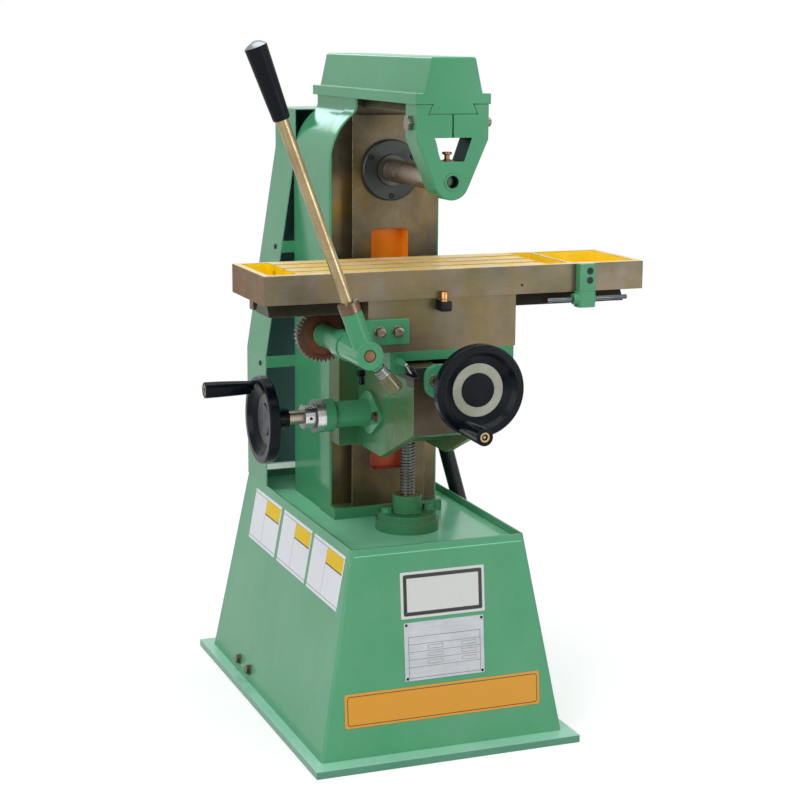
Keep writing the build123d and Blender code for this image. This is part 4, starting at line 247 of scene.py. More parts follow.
class Effects:
    """Builds each shared effect once and places it in materials. Noise scales are per metre."""

    old_oil: Colour = tint(104, 86, 42)
    dust_grey: Colour = (0.2, 0.2, 0.19, 1.0)
    mask_edge: float = 0.15 * MM
    print_edge: float = 0.2 * MM
    seam_edge: float = 0.3 * MM

    def __init__(self) -> None:
        """Start with no groups built."""
        self.trees: dict[Effect, bpy.types.NodeTree] = {}
        self.makers: dict[Effect, Callable[[], bpy.types.NodeTree]] = {
            Effect.ZONE: self.zone,
            Effect.ENAMEL: self.enamel,
            Effect.MACHINED: self.machined,
            Effect.TURNED: self.turned,
            Effect.MOULDED: self.moulded,
            Effect.EDGE: self.edge,
            Effect.RULE: self.rule,
            Effect.SEAM: self.seam,
            Effect.DIAL: self.dial,
        }

    def use(self, sheet: Sheet, effect: Effect, **inputs: Any) -> bpy.types.Node:
        """Place an effect in a material.

        Args:
            sheet: The material's nodes.
            effect: Which effect.
            inputs: Values or sockets for its inputs.

        Returns:
            The group node.
        """
        if effect not in self.trees:
            self.trees[effect] = self.makers[effect]()
        made = sheet.node("Group", node_tree=self.trees[effect])
        for name, value in inputs.items():
            sheet.feed(made.inputs[name], value)
        return made

    @staticmethod
    def start(effect: Effect, **inputs: Kind) -> tuple[Sheet, dict[str, Socket]]:
        """A new group with named inputs.

        Args:
            effect: The effect that names it.
            inputs: Kind of each input.

        Returns:
            The group's sheet and its input sockets by name.
        """
        tree = bpy.data.node_groups.new(effect.value, "ShaderNodeTree")
        for name, kind in inputs.items():
            tree.interface.new_socket(name, in_out="INPUT", socket_type=kind.value)
        source = tree.nodes.new("NodeGroupInput")
        return Sheet(tree), {name: source.outputs[name] for name in inputs}

    @staticmethod
    def end(sheet: Sheet, **outputs: tuple[Kind, Socket]) -> bpy.types.NodeTree:
        """Give a group its outputs.

        Args:
            sheet: The group's nodes.
            outputs: Kind of each output, and the socket behind it.

        Returns:
            The finished group.
        """
        for name, (kind, _) in outputs.items():
            sheet.tree.interface.new_socket(name, in_out="OUTPUT", socket_type=kind.value)
        sink = sheet.tree.nodes.new("NodeGroupOutput")
        for name, (_, socket) in outputs.items():
            sheet.feed(sink.inputs[name], socket)
        return sheet.tree

    def coat(self, sheet: Sheet, colour: Socket, rough: Socket, height: Socket) -> bpy.types.NodeTree:
        """Outputs that every finish gives: colour, roughness and height in millimetres."""
        rest = {"Roughness": (Kind.NUMBER, rough), "Height": (Kind.NUMBER, height)}
        return self.end(sheet, Color=(Kind.COLOUR, colour), **rest)

    def zone(self) -> bpy.types.NodeTree:
        """Inside of a box: the largest overshoot past its faces, made slightly ragged, is under 0.

        Returns:
            The group, with a mask that is 1 inside.
        """
        sheet, given = self.start(
            Effect.ZONE, Vector=Kind.VECTOR, Centre=Kind.VECTOR, Half=Kind.VECTOR, Ragged=Kind.NUMBER
        )
        away = sheet.vector("ABSOLUTE", sheet.vector("SUBTRACT", given["Vector"], given["Centre"]))
        x, y, z = sheet.parts(sheet.vector("SUBTRACT", away, given["Half"]))
        past = sheet.maths("MAXIMUM", sheet.maths("MAXIMUM", x, y), z)
        wander = sheet.maths("SUBTRACT", sheet.noise(given["Vector"], scale=220, detail=3), 0.5)
        past = sheet.maths("MULTIPLY_ADD", wander, given["Ragged"], past)
        return self.end(sheet, Mask=(Kind.NUMBER, sheet.remap(past, (self.mask_edge, -self.mask_edge))))

    def enamel(self) -> bpy.types.NodeTree:
        """Sprayed enamel: slow clouds of tone, fine peel, a gloss that wanders and runs of old oil.

        Returns:
            The group, with the outputs of a coat.
        """
        sheet, given = self.start(
            Effect.ENAMEL, Vector=Kind.VECTOR, Tone=Kind.COLOUR, Cloud=Kind.NUMBER, Grime=Kind.NUMBER
        )
        place = given["Vector"]
        cloud = sheet.maths("SUBTRACT", sheet.noise(place, scale=5.5, detail=4, rough=0.55), 0.5)
        fine = sheet.maths("SUBTRACT", sheet.noise(place, scale=90, detail=3), 0.5)
        both = sheet.maths("MULTIPLY_ADD", fine, 0.25, cloud)
        value = sheet.maths("MULTIPLY_ADD", both, given["Cloud"], 1.0)
        colour = sheet.shade(given["Tone"], value, sheet.maths("MULTIPLY_ADD", cloud, -0.25, 1.0))
        drawn_down = sheet.vector("MULTIPLY", place, (1.0, 1.0, 0.45))
        runs = sheet.remap(sheet.noise(drawn_down, scale=13, detail=5, rough=0.62), (0.4, 0.72))
        soil = sheet.maths("MULTIPLY", runs, given["Grime"])
        colour = sheet.mix(soil, colour, self.old_oil)
        gloss = sheet.remap(sheet.noise(place, scale=26, detail=3), (0.3, 0.7), (0.12, 0.24))
        rough = sheet.maths("MULTIPLY_ADD", soil, 0.3, gloss)
        peel = sheet.maths("MULTIPLY", sheet.noise(place, scale=420), 0.03)
        wave = sheet.maths("MULTIPLY_ADD", sheet.noise(place, scale=14), 0.4, peel)
        return self.coat(sheet, colour, rough, wave)

    def machined(self) -> bpy.types.NodeTree:
        """Milled and scraped iron: streaks along the cut, stains of oil, and warm and grey patches.

        Returns:
            The group, with the outputs of a coat.
        """
        sheet, given = self.start(
            Effect.MACHINED,
            Vector=Kind.VECTOR,
            Tone=Kind.COLOUR,
            Stain=Kind.COLOUR,
            Grain=Kind.VECTOR,
            Spread=Kind.NUMBER,
        )
        place = given["Vector"]
        drawn_out = sheet.vector("MULTIPLY", place, given["Grain"])
        streak = sheet.noise(drawn_out, scale=1.0, detail=5, rough=0.6)
        stain = sheet.remap(sheet.noise(place, scale=7, detail=4, rough=0.6), (0.35, 0.75))
        stained = sheet.maths("MULTIPLY", stain, given["Spread"])
        colour = sheet.mix(stained, given["Tone"], given["Stain"])
        mottle = sheet.maths("MULTIPLY_ADD", sheet.noise(place, scale=34, detail=4, rough=0.65), 0.6, streak)
        drawn_down = sheet.vector("MULTIPLY", place, (1.0, 1.0, 0.6))
        warm = sheet.noise(drawn_down, scale=13, detail=5, rough=0.65)
        value = sheet.remap(mottle, (0.5, 1.1), (0.84, 1.16))
        colour = sheet.shade(colour, value, sheet.remap(warm, (0.32, 0.68), (0.62, 1.38)))
        gloss = sheet.remap(streak, (0.3, 0.7), (0.3, 0.44))
        rough = sheet.maths("MULTIPLY_ADD", stain, 0.12, gloss)
        return self.coat(sheet, colour, rough, sheet.maths("MULTIPLY", streak, 0.015))

    def turned(self) -> bpy.types.NodeTree:
        """Turned metal: fine rings that depend only on the place along the axis, with a few stains.

        Returns:
            The group, with the outputs of a coat.
        """
        sheet, given = self.start(
            Effect.TURNED,
            Vector=Kind.VECTOR,
            Axis=Kind.VECTOR,
            Tone=Kind.COLOUR,
            Stain=Kind.COLOUR,
            Spread=Kind.NUMBER,
            Dull=Kind.NUMBER,
        )
        place = given["Vector"]
        along = sheet.vector("DOT_PRODUCT", place, given["Axis"])
        rings = sheet.node("TexNoise", {"W": along, "Scale": 900.0, "Detail": 3.0}, noise_dimensions="1D")
        ring = rings.outputs[0]
        stain = sheet.remap(sheet.noise(place, scale=24, detail=4, rough=0.6), (0.42, 0.72))
        stained = sheet.maths("MULTIPLY", stain, given["Spread"])
        colour = sheet.mix(stained, given["Tone"], given["Stain"])
        colour = sheet.shade(colour, sheet.remap(ring, (0.3, 0.7), (0.9, 1.1)))
        gloss = sheet.remap(ring, (0.3, 0.7), (0.18, 0.34))
        rough = sheet.maths("MULTIPLY_ADD", stain, 0.15, gloss)
        rough = sheet.maths("MULTIPLY", rough, given["Dull"])
        return self.coat(sheet, colour, rough, sheet.maths("MULTIPLY", ring, 0.012))

    def moulded(self) -> bpy.types.NodeTree:
        """Moulded plastic or rubber: fine grain, handling smudges in the gloss and a little dust.

        Returns:
            The group, with the outputs of a coat.
        """
        sheet, given = self.start(Effect.MOULDED, Vector=Kind.VECTOR, Tone=Kind.COLOUR, Gloss=Kind.NUMBER)
        place = given["Vector"]
        smudge = sheet.noise(place, scale=32, detail=4, rough=0.6)
        dust = sheet.remap(sheet.noise(place, scale=240, detail=4, rough=0.7), (0.58, 0.8), (0.0, 0.07))
        colour = sheet.mix(dust, given["Tone"], self.dust_grey)
        rough = sheet.maths("ADD", sheet.remap(smudge, (0.3, 0.7), (-0.08, 0.1)), given["Gloss"])
        grain = sheet.maths("MULTIPLY", sheet.noise(place, scale=900), 0.02)
        return self.coat(sheet, colour, rough, grain)

    def edge(self) -> bpy.types.NodeTree:
        """Rounded edges: the bevelled normal, and a broken mask where it leaves the face's own.

        Returns:
            The group, with the mask and the normal.
        """
        sheet, given = self.start(Effect.EDGE, Vector=Kind.VECTOR, Width=Kind.NUMBER)
        bevel = sheet.node("Bevel", {"Radius": given["Width"]}, samples=6).outputs[0]
        face = sheet.node("NewGeometry").outputs["Normal"]
        turn = sheet.maths("SUBTRACT", 1.0, sheet.vector("DOT_PRODUCT", bevel, face))
        broken = sheet.remap(sheet.noise(given["Vector"], scale=110, detail=4, rough=0.65), (0.36, 0.58))
        mask = sheet.maths("MULTIPLY", sheet.remap(turn, (0.03, 0.22)), broken)
        return self.end(sheet, Mask=(Kind.NUMBER, mask), Normal=(Kind.VECTOR, bevel))

    def rule(self) -> bpy.types.NodeTree:
        """A ruled frame on a plate: distance to a rounded rectangle is under half a line's width.

        Returns:
            The group, with a mask that is 1 on the line.
        """
        sheet, given = self.start(
            Effect.RULE,
            Vector=Kind.VECTOR,
            Centre=Kind.VECTOR,
            Half=Kind.VECTOR,
            Corner=Kind.NUMBER,
            Line=Kind.NUMBER,
        )
        away = sheet.vector("ABSOLUTE", sheet.vector("SUBTRACT", given["Vector"], given["Centre"]))
        x, y, _ = sheet.parts(sheet.vector("SUBTRACT", away, given["Half"]))
        x = sheet.maths("ADD", x, given["Corner"])
        y = sheet.maths("ADD", y, given["Corner"])
        ahead = {"X": sheet.maths("MAXIMUM", x, 0.0), "Y": sheet.maths("MAXIMUM", y, 0.0)}
        outer = sheet.vector("LENGTH", sheet.node("CombineXYZ", ahead).outputs[0])
        inner = sheet.maths("MINIMUM", sheet.maths("MAXIMUM", x, y), 0.0)
        gap = sheet.maths("SUBTRACT", sheet.maths("ADD", outer, inner), given["Corner"])
        gap = sheet.maths("MULTIPLY_ADD", given["Line"], -0.5, sheet.maths("ABSOLUTE", gap))
        return self.end(sheet, Mask=(Kind.NUMBER, sheet.remap(gap, (self.print_edge, -self.print_edge))))

    def seam(self) -> bpy.types.NodeTree:
        """A thin seam: distance to the nearest point of a straight run is under half its width.

        Returns:
            The group, with a mask that is 1 on the seam.
        """
        sheet, given = self.start(
            Effect.SEAM, Vector=Kind.VECTOR, Start=Kind.VECTOR, End=Kind.VECTOR, Line=Kind.NUMBER
        )
        run = sheet.vector("SUBTRACT", given["End"], given["Start"])
        local = sheet.vector("SUBTRACT", given["Vector"], given["Start"])
        ahead, length = sheet.vector("DOT_PRODUCT", local, run), sheet.vector("DOT_PRODUCT", run, run)
        share = sheet.remap(sheet.maths("DIVIDE", ahead, length), (0.0, 1.0))
        nearest = sheet.node("VectorMath", {0: run, "Scale": share}, operation="SCALE").outputs[0]
        gap = sheet.maths("MULTIPLY_ADD", given["Line"], -0.5, sheet.vector("DISTANCE", local, nearest))
        return self.end(sheet, Mask=(Kind.NUMBER, sheet.remap(gap, (self.seam_edge, -self.seam_edge))))

    def dial(self) -> bpy.types.NodeTree:
        """Dial lines: equal shares of a turn about the axis, longer at every tenth, on one band.

        Returns:
            The group, with a mask that is 1 on the lines.
        """
        sheet, given = self.start(
            Effect.DIAL,
            Across=Kind.NUMBER,
            Up=Kind.NUMBER,
            Along=Kind.NUMBER,
            Count=Kind.NUMBER,
            Length=Kind.NUMBER,
        )
        share = sheet.maths("DIVIDE", sheet.maths("ARCTAN2", given["Across"], given["Up"]), TURN)
        steps = sheet.maths("MULTIPLY", share, given["Count"])
        off = sheet.maths("ABSOLUTE", sheet.maths("SUBTRACT", sheet.maths("FRACT", steps), 0.5))
        tens = sheet.maths("FRACT", sheet.maths("DIVIDE", sheet.maths("ADD", steps, 0.5), 10.0))
        long = sheet.maths("LESS_THAN", tens, 0.1)
        reach = sheet.maths("MULTIPLY", given["Length"], sheet.maths("MULTIPLY_ADD", long, 0.5, 0.5))
        on_band = sheet.maths("LESS_THAN", given["Along"], reach)
        line = sheet.maths("MULTIPLY", sheet.remap(off, (0.41, 0.45)), on_band)
        return self.end(sheet, Mask=(Kind.NUMBER, line))


# Finishes


@dataclass(frozen=True)
class Brush:
    """What finishes and masks are laid with: a material's nodes, the shared effects and a place to read."""

    sheet: Sheet
    effects: Effects
    place: Socket

    def use(self, effect: Effect, **inputs: Any) -> bpy.types.bpy_prop_collection:
        """Outputs of an effect placed in the material."""
        return self.effects.use(self.sheet, effect, **inputs).outputs

    def below(self, value: Socket, limit: float) -> Socket:
        """1 where a value is under a limit in millimetres."""
        return self.sheet.maths("LESS_THAN", value, limit * MM)

    def within(self, value: Socket, limit: float) -> Socket:
        """1 where a value is under a limit in millimetres, with a narrow blend at the limit."""
        return self.sheet.remap(value, ((limit + 0.1) * MM, (limit - 0.1) * MM))


@dataclass(frozen=True)
class Coat:
    """What one finish gives to a shader: three sockets and a plain metallic share."""

    colour: Socket
    rough: Socket
    height: Socket
    metallic: float


@dataclass(frozen=True)
class Finish:
    """A finish on one kind of surface."""

    tone: Colour
    metallic: float = 0.0
    specular: float = 0.5

    def inputs(self) -> tuple[Effect, dict[str, Any]]:
        """The effect behind the finish and the values it takes."""
        raise NotImplementedError

    def lay(self, brush: Brush) -> Coat:
        """Lay the finish into a material.

        Args:
            brush: The material to lay it into.

        Returns:
            The finish's sockets.
        """
        effect, values = self.inputs()
        out = brush.use(effect, Vector=brush.place, Tone=self.tone, **values)
        return Coat(out["Color"], out["Roughness"], out["Height"], self.metallic)


@dataclass(frozen=True)
class Enamel(Finish):
    """Sprayed enamel."""

    specular: float = 0.16
    cloud: float = 0.16
    grime: float = 0.08

    def inputs(self) -> tuple[Effect, dict[str, Any]]:
        """Enamel with its clouds of tone and its grime."""
        return Effect.ENAMEL, {"Cloud": self.cloud, "Grime": self.grime}


@dataclass(frozen=True)
class Machined(Finish):
    """Milled or scraped iron, with stains of oil. The grain is how often streaks change along each axis."""

    metallic: float = 0.8
    stain: Colour = tint(96, 82, 58)
    grain: Vec = (12.0, 500.0, 500.0)
    spread: float = 0.55

    def inputs(self) -> tuple[Effect, dict[str, Any]]:
        """Machined face with its grain and stain."""
        return Effect.MACHINED, {"Stain": self.stain, "Grain": self.grain, "Spread": self.spread}


@dataclass(frozen=True)
class Turned(Finish):
    """Metal turned about an axis."""

    metallic: float = 1.0
    axis: Vec = UP
    stain: Colour = tint(120, 92, 60)
    spread: float = 0.35
    dull: float = 1.0

    def inputs(self) -> tuple[Effect, dict[str, Any]]:
        """Turned face with its axis, its stain and how dull it is."""
        values = {"Axis": self.axis, "Stain": self.stain, "Spread": self.spread, "Dull": self.dull}
        return Effect.TURNED, values


@dataclass(frozen=True)
class Moulded(Finish):
    """Moulded plastic, rubber or a printed film."""

    gloss: float = 0.3

    def inputs(self) -> tuple[Effect, dict[str, Any]]:
        """Moulded skin with its gloss."""
        return Effect.MOULDED, {"Gloss": self.gloss}


# Masks


class Mask:
    """A part of a surface that takes another finish."""

    def draw(self, brush: Brush) -> Socket:
        """Socket that is 1 on that part and 0 elsewhere."""
        raise NotImplementedError


OPEN: Flat = (-2000.0, 2000.0)


def beyond(start: float) -> Flat:
    """A range that begins at a value."""
    return (start, OPEN[1])


def up_to(end: float) -> Flat:
    """A range that stops at a value."""
    return (OPEN[0], end)


def each_side(half: float) -> Flat:
    """A range of the same width on both sides of the middle."""
    return (-half, half)


@dataclass(frozen=True)
class Zone(Mask):
    """A box in which another finish holds, by its range along each axis."""

    x: Flat = OPEN
    y: Flat = OPEN
    z: Flat = OPEN
    ragged: float = 0.3

    def draw(self, brush: Brush) -> Socket:
        """Mask that is 1 inside the box.

        Args:
            brush: The material to draw it in.

        Returns:
            The mask.
        """
        low, high = np.array([self.x, self.y, self.z]).T
        sizes = {"Centre": metres((low + high) / 2), "Half": metres((high - low) / 2)}
        return brush.use(Effect.ZONE, Vector=brush.place, Ragged=self.ragged * MM, **sizes)["Mask"]


@dataclass(frozen=True)
class GuardInside(Mask):
    """Inside of the belt guard, whose half width grows evenly from its neck down to its skirt."""

    neck_z: float = 1070.0
    neck_half: float = 104.0
    skirt_z: float = 660.0
    skirt_half: float = 168.0
    back_y: float = 317.0
    top_z: float = 1149.0

    def slope(self) -> float:
        """How much the half width grows for each millimetre down."""
        return (self.skirt_half - self.neck_half) / (self.neck_z - self.skirt_z)

    def draw(self, brush: Brush) -> Socket:
        """Mask that is 1 on the guard's inner faces.

        Args:
            brush: The material to draw it in.

        Returns:
            The mask.
        """
        sheet = brush.sheet
        x, y, z = sheet.parts(brush.place)
        heights = (self.skirt_z * MM, self.neck_z * MM)
        half = sheet.remap(z, heights, (self.skirt_half * MM, self.neck_half * MM))
        mask = sheet.maths("LESS_THAN", sheet.maths("ABSOLUTE", x), half)
        mask = sheet.maths("MULTIPLY", mask, brush.below(y, self.back_y))
        return sheet.maths("MULTIPLY", mask, brush.below(z, self.top_z))


@dataclass(frozen=True)
class Band(Mask):
    """A stretch along an axis, from one distance to another."""

    origin: Point
    axis: Vec
    start: float
    end: float

    def draw(self, brush: Brush) -> Socket:
        """Mask that is 1 on the stretch.

        Args:
            brush: The material to draw it in.

        Returns:
            The mask.
        """
        sheet = brush.sheet
        local = sheet.vector("SUBTRACT", brush.place, metres(self.origin))
        along = sheet.vector("DOT_PRODUCT", local, self.axis)
        off = sheet.maths("SUBTRACT", along, (self.start + self.end) / 2 * MM)
        return brush.within(sheet.maths("ABSOLUTE", off), (self.end - self.start) / 2)


@dataclass(frozen=True)
class Bore(Mask):
    """All that lies within a radius of an axis."""

    origin: Point
    axis: Vec
    radius: float

    def draw(self, brush: Brush) -> Socket:
        """Mask that is 1 within the radius: the length of the cross product of place and axis.

        Args:
            brush: The material to draw it in.

        Returns:
            The mask.
        """
        sheet = brush.sheet
        local = sheet.vector("SUBTRACT", brush.place, metres(self.origin))
        away = sheet.vector("LENGTH", sheet.vector("CROSS_PRODUCT", local, self.axis))
        return brush.within(away, self.radius)


@dataclass(frozen=True)
class Joints(Mask):
    """Thin joints between like rings along Y: each is near a whole number of pitches from the start."""

    start: float
    pitch: float
    line: float = 1.2

    def draw(self, brush: Brush) -> Socket:
        """Mask that is 1 in the joints.

        Args:
            brush: The material to draw it in.

        Returns:
            The mask.
        """
        sheet = brush.sheet
        along = sheet.maths("SUBTRACT", sheet.parts(brush.place)[1], self.start * MM)
        off = sheet.maths("PINGPONG", sheet.maths("DIVIDE", along, self.pitch * MM), 0.5)
        half = self.line / 2 / self.pitch
        return sheet.remap(off, (half * 1.6, half * 0.6))


@dataclass(frozen=True)
class Seam(Mask):
    """A dark seam on a front face, alike on both sides of the middle, with a round relief at its corners."""

    corners: tuple[Flat, ...]
    front: float
    line: float = 1.1
    relief: float = 2.6

    def draw(self, brush: Brush) -> Socket:
        """Mask that is 1 along the seam and in its reliefs.

        Args:
            brush: The material to draw it in.

        Returns:
            The mask.
        """
        sheet = brush.sheet
        x, y, z = sheet.parts(brush.place)
        folded = sheet.node("CombineXYZ", {"X": sheet.maths("ABSOLUTE", x), "Z": z}).outputs[0]
        runs = [(*pair, self.line) for pair in zip(self.corners, self.corners[1:])]
        runs += [(corner, corner, self.relief) for corner in self.corners[1:-1]]
        mask: Any = 0.0
        for start, end, width in runs:
            ends = {"Start": metres((start[0], 0.0, start[1])), "End": metres((end[0], 0.0, end[1]))}
            run = brush.use(Effect.SEAM, Vector=folded, Line=width * MM, **ends)["Mask"]
            mask = sheet.maths("MAXIMUM", mask, run)
        return sheet.maths("MULTIPLY", mask, brush.below(y, self.front))


@dataclass(frozen=True)
class DialLines(Mask):
    """Engraved lines round a dial, from one end of its band; axes are given by number."""

    centre: Vec
    across: int
    along: int
    count: float
    length: float = 9.0

    def draw(self, brush: Brush) -> Socket:
        """Mask that is 1 in the engraved lines.

        Args:
            brush: The material to draw it in.

        Returns:
            The mask.
        """
        sheet = brush.sheet
        parts = sheet.parts(sheet.vector("SUBTRACT", brush.place, metres(self.centre)))
        return brush.use(
            Effect.DIAL,
            Across=parts[self.across],
            Up=parts[2],
            Along=sheet.maths("MULTIPLY", parts[self.along], -1.0),
            Count=self.count,
            Length=self.length * MM,
        )["Mask"]


@dataclass(frozen=True)
class Print(Mask):
    """A ruled frame or line printed on a plate, by its half size and centre."""

    half: Flat
    centre: Flat = (0.0, 0.0)
    corner: float = 0.0
    line: float = 1.0

    def draw(self, brush: Brush) -> Socket:
        """Mask that is 1 on the printed line.

        Args:
            brush: The material to draw it in.

        Returns:
            The mask.
        """
        return brush.use(
            Effect.RULE,
            Vector=brush.place,
            Centre=metres((*self.centre, 0.0)),
            Half=metres((*self.half, 0.0)),
            Corner=self.corner * MM,
            Line=self.line * MM,
        )["Mask"]


Layer = tuple[Mask, Finish]


@dataclass
class Paintshop:
    """Makes materials out of finishes and the masks they hold in."""

    effects: Effects = field(default_factory=Effects)

    def mix(
        self,
        name: str,
        base: Finish,
        layers: Sequence[Layer] = (),
        rounding: float = 0.4,
        wear: float = 0.0,
        worn_and_lit: Colour = tint(165, 190, 168),
        flat: bool = False,
    ) -> bpy.types.Material:
        """Make a material.

        Args:
            name: Its name.
            base: The finish over the whole piece.
            layers: Masks that take another finish, the last on top.
            rounding: Width of the rounded edges, in millimetres.
            wear: How strongly edges show the lighter edge colour, which is partly wear and partly a painted
                highlight.
            worn_and_lit: Colour of an edge that is worn and also carries a painted highlight.
            flat: True where the masks read the piece's own UV map, as on a plate.

        Returns:
            The material.
        """
        material = bpy.data.materials.new(name)
        sheet = Sheet.clean(material)
        source = sheet.node("TexCoord").outputs
        brush = Brush(sheet, self.effects, source["Object"])
        marker = replace(brush, place=source["UV"]) if flat else brush
        coat = base.lay(brush)
        colour, rough, height = coat.colour, coat.rough, coat.height
        metallic: Any = coat.metallic
        for layer, finish in layers:
            mask = layer.draw(marker)
            over = finish.lay(brush)
            colour = sheet.mix(mask, colour, over.colour)
            rough = sheet.blend(mask, rough, over.rough)
            height = sheet.blend(mask, height, over.height)
            if metallic != over.metallic:
                metallic = sheet.blend(mask, metallic, over.metallic)
        edge = brush.use(Effect.EDGE, Vector=brush.place, Width=rounding * MM)
        # Lighter edges: partly wear, partly a painted highlight where rounded paint would catch the light.
        if wear:
            colour = sheet.mix(sheet.maths("MULTIPLY", edge["Mask"], wear), colour, worn_and_lit)
        bump = sheet.node("Bump", {"Height": height, "Distance": MM, "Normal": edge["Normal"]})
        shader = sheet.node(
            "BsdfPrincipled",
            {
                "Base Color": colour,
                "Roughness": rough,
                "Metallic": metallic,
                "Specular IOR Level": base.specular,
                "Normal": bump.outputs[0],
            },
        )
        sheet.node("OutputMaterial", {"Surface": shader.outputs[0]})
        return material


# Palette of the machine's finishes

GREEN = Enamel(tint(70, 148, 106))
# Pedestal: machine green made lighter as painted light, so the low walls look as lit as the castings above.
PEDESTAL_LIT_GREEN = Enamel(tint(88, 160, 120))
# Tray floor: a paler green as painted light and painted reflection, where the table above keeps light off it.
TRAY_PAINTED_LIGHT = Enamel(tint(138, 220, 178), specular=0.24)
# Base plate: a pale top as a painted highlight, and a darker edge as painted shade.
BASE_TOP_LIT = Enamel(tint(150, 212, 186), specular=0.3)
BASE_EDGE_SHADED = Enamel(tint(86, 146, 120), specular=0.3)
GUARD_GREEN = Enamel(tint(70, 146, 104))
# Inside of the belt guard: a paler, bluer green that paints the colour of the shade in there.
GUARD_SHADE_TINT = Enamel(tint(124, 168, 164), cloud=0.3)
# Knee and nut base: a darker green as painted shade, with runs of old oil.
OILED_AND_SHADED_GREEN = Enamel(tint(62, 126, 86), specular=0.08, cloud=0.3, grime=0.7)
AMBER = Enamel(tint(248, 214, 52), cloud=0.15)
ORANGE = Enamel(tint(255, 152, 8), cloud=0.4)
RED_OXIDE = Enamel(tint(184, 82, 50), cloud=0.4)
TIE_BAR = Enamel(tint(226, 230, 228))
MOTOR_GREY = Enamel(tint(108, 112, 114))
TABLE_IRON = Machined(tint(118, 104, 82), stain=tint(82, 88, 66), metallic=0.6, specular=0.1, spread=0.8)
TOP_IRON = Machined(tint(232, 204, 144), stain=tint(202, 168, 104), metallic=0.25)
END_IRON = Machined(tint(114, 84, 50), stain=tint(90, 66, 38), grain=(300.0, 12.0, 300.0), metallic=0.1)
# Table underside: darker iron as painted shade.
UNDER_IRON_SHADE = Machined(tint(76, 74, 64), stain=tint(52, 50, 42), metallic=0.5)
WAYS_IRON = Machined(tint(106, 92, 66), stain=tint(44, 46, 42), grain=(500.0, 500.0, 9.0), spread=0.95)
KNEE_IRON = Machined(tint(86, 76, 62), stain=tint(54, 52, 46), grain=(14.0, 500.0, 500.0), spread=0.7)
# Dark iron on the knee's head under the saddle: painted shade.
KNEE_HEAD_SHADE = Machined(tint(58, 60, 58), stain=tint(40, 40, 38), metallic=0.5)
# Inside of the arbor support's window: dark iron as painted shade.
WINDOW_PAINTED_SHADE = Machined(tint(30, 60, 54), stain=tint(24, 44, 40), metallic=0.9)
GIB_IRON = Machined(tint(150, 148, 136), stain=tint(104, 98, 84))
RACK_IRON = Machined(tint(92, 80, 62), stain=tint(60, 50, 38))
EVEN_GRAIN: Vec = (60.0, 60.0, 60.0)
GEAR_IRON = Machined(tint(114, 76, 60), stain=tint(64, 44, 36), grain=EVEN_GRAIN, spread=0.9, metallic=0.5)
TEETH_IRON = Machined(tint(88, 65, 50), stain=tint(50, 39, 32), grain=EVEN_GRAIN, spread=0.9, metallic=0.5)
RING_GRAIN: Vec = (90.0, 90.0, 90.0)
RING_BRIGHT = Machined(tint(140, 143, 132), stain=tint(104, 104, 90), grain=RING_GRAIN, spread=0.9)
# Ring of the knee handwheel: a darker copy of the same ring, as painted shade.
RING_SHADED = Machined(tint(98, 100, 97), stain=tint(70, 70, 64), grain=RING_GRAIN, spread=0.9)
STEEL = Turned(tint(176, 166, 152), axis=ALONG_Y)
COLLAR_STEEL = Turned(tint(190, 182, 168), axis=ALONG_Y, stain=tint(126, 92, 64), spread=0.5)
JOINT_BROWN = Turned(tint(70, 48, 34), axis=ALONG_Y, metallic=0.4)
# Arbor's end in the bore: dark green-grey as painted shade and painted reflection.
ARBOR_END_SHADE = Turned(tint(72, 86, 78), axis=ALONG_Y, stain=tint(40, 46, 42), spread=0.6)
SPINDLE_DARK = Turned(tint(62, 62, 58), axis=ALONG_Y, metallic=0.6, stain=tint(42, 40, 36), spread=0.6)
COVER_DARK = replace(SPINDLE_DARK, tone=tint(50, 56, 54), metallic=0.4, specular=0.2, stain=tint(40, 40, 36))
STOP_ROD_STEEL = Turned(tint(86, 94, 98), axis=ALONG_X, stain=tint(52, 56, 58), spread=0.4)
PIN_RUST = Turned(tint(134, 104, 80), axis=ALONG_Y, stain=tint(84, 58, 40), spread=0.8)
# Pin outside its face: darker as painted shade in the gap round it.
PIN_RIM_SHADE = Turned(tint(66, 50, 38), axis=ALONG_Y, stain=tint(44, 34, 26), spread=0.8, metallic=0.6)
LEVER_STEEL = Turned(tint(164, 147, 112), stain=tint(124, 102, 74), spread=0.6)
LEVER_COLLAR = Turned(tint(112, 90, 74), stain=tint(70, 54, 44), spread=0.7)
PLUNGER_SLEEVE = Turned(tint(140, 142, 138), stain=tint(80, 80, 74), spread=0.7)
PLUNGER_KNOB = Turned(tint(100, 102, 72), stain=tint(72, 76, 50), spread=0.8, metallic=0.7)
SCREW_STEEL = Turned(tint(98, 102, 98), stain=tint(56, 58, 52), spread=0.6)
BOLT_STEEL = Turned(tint(128, 120, 106), stain=tint(70, 60, 50), spread=0.7)
WALL_BOLT = Turned(tint(112, 104, 86), stain=tint(66, 56, 44), spread=0.7)
BRONZE = Turned(tint(196, 150, 92), axis=ALONG_Y, spread=0.4)
BRASS = Turned(tint(184, 156, 112), stain=tint(128, 98, 62), axis=ALONG_Y)
ALUMINIUM = Turned(tint(188, 188, 186), axis=ALONG_Y)
BLACKENED = Turned(tint(34, 34, 36), stain=tint(22, 22, 22), axis=ALONG_Y, metallic=0.6, specular=0.25)
PLATED = Turned(tint(196, 198, 200), stain=tint(140, 134, 124), spread=0.2, axis=ALONG_Y, dull=0.45)
DIAL_CHROME = replace(PLATED, tone=tint(206, 208, 208), axis=ALONG_X, dull=0.9)
# End face of the crank dial's small step: darker as painted shade.
DIAL_END_SHADE = Turned(tint(120, 124, 124), axis=ALONG_X, stain=tint(86, 88, 86), spread=0.5)
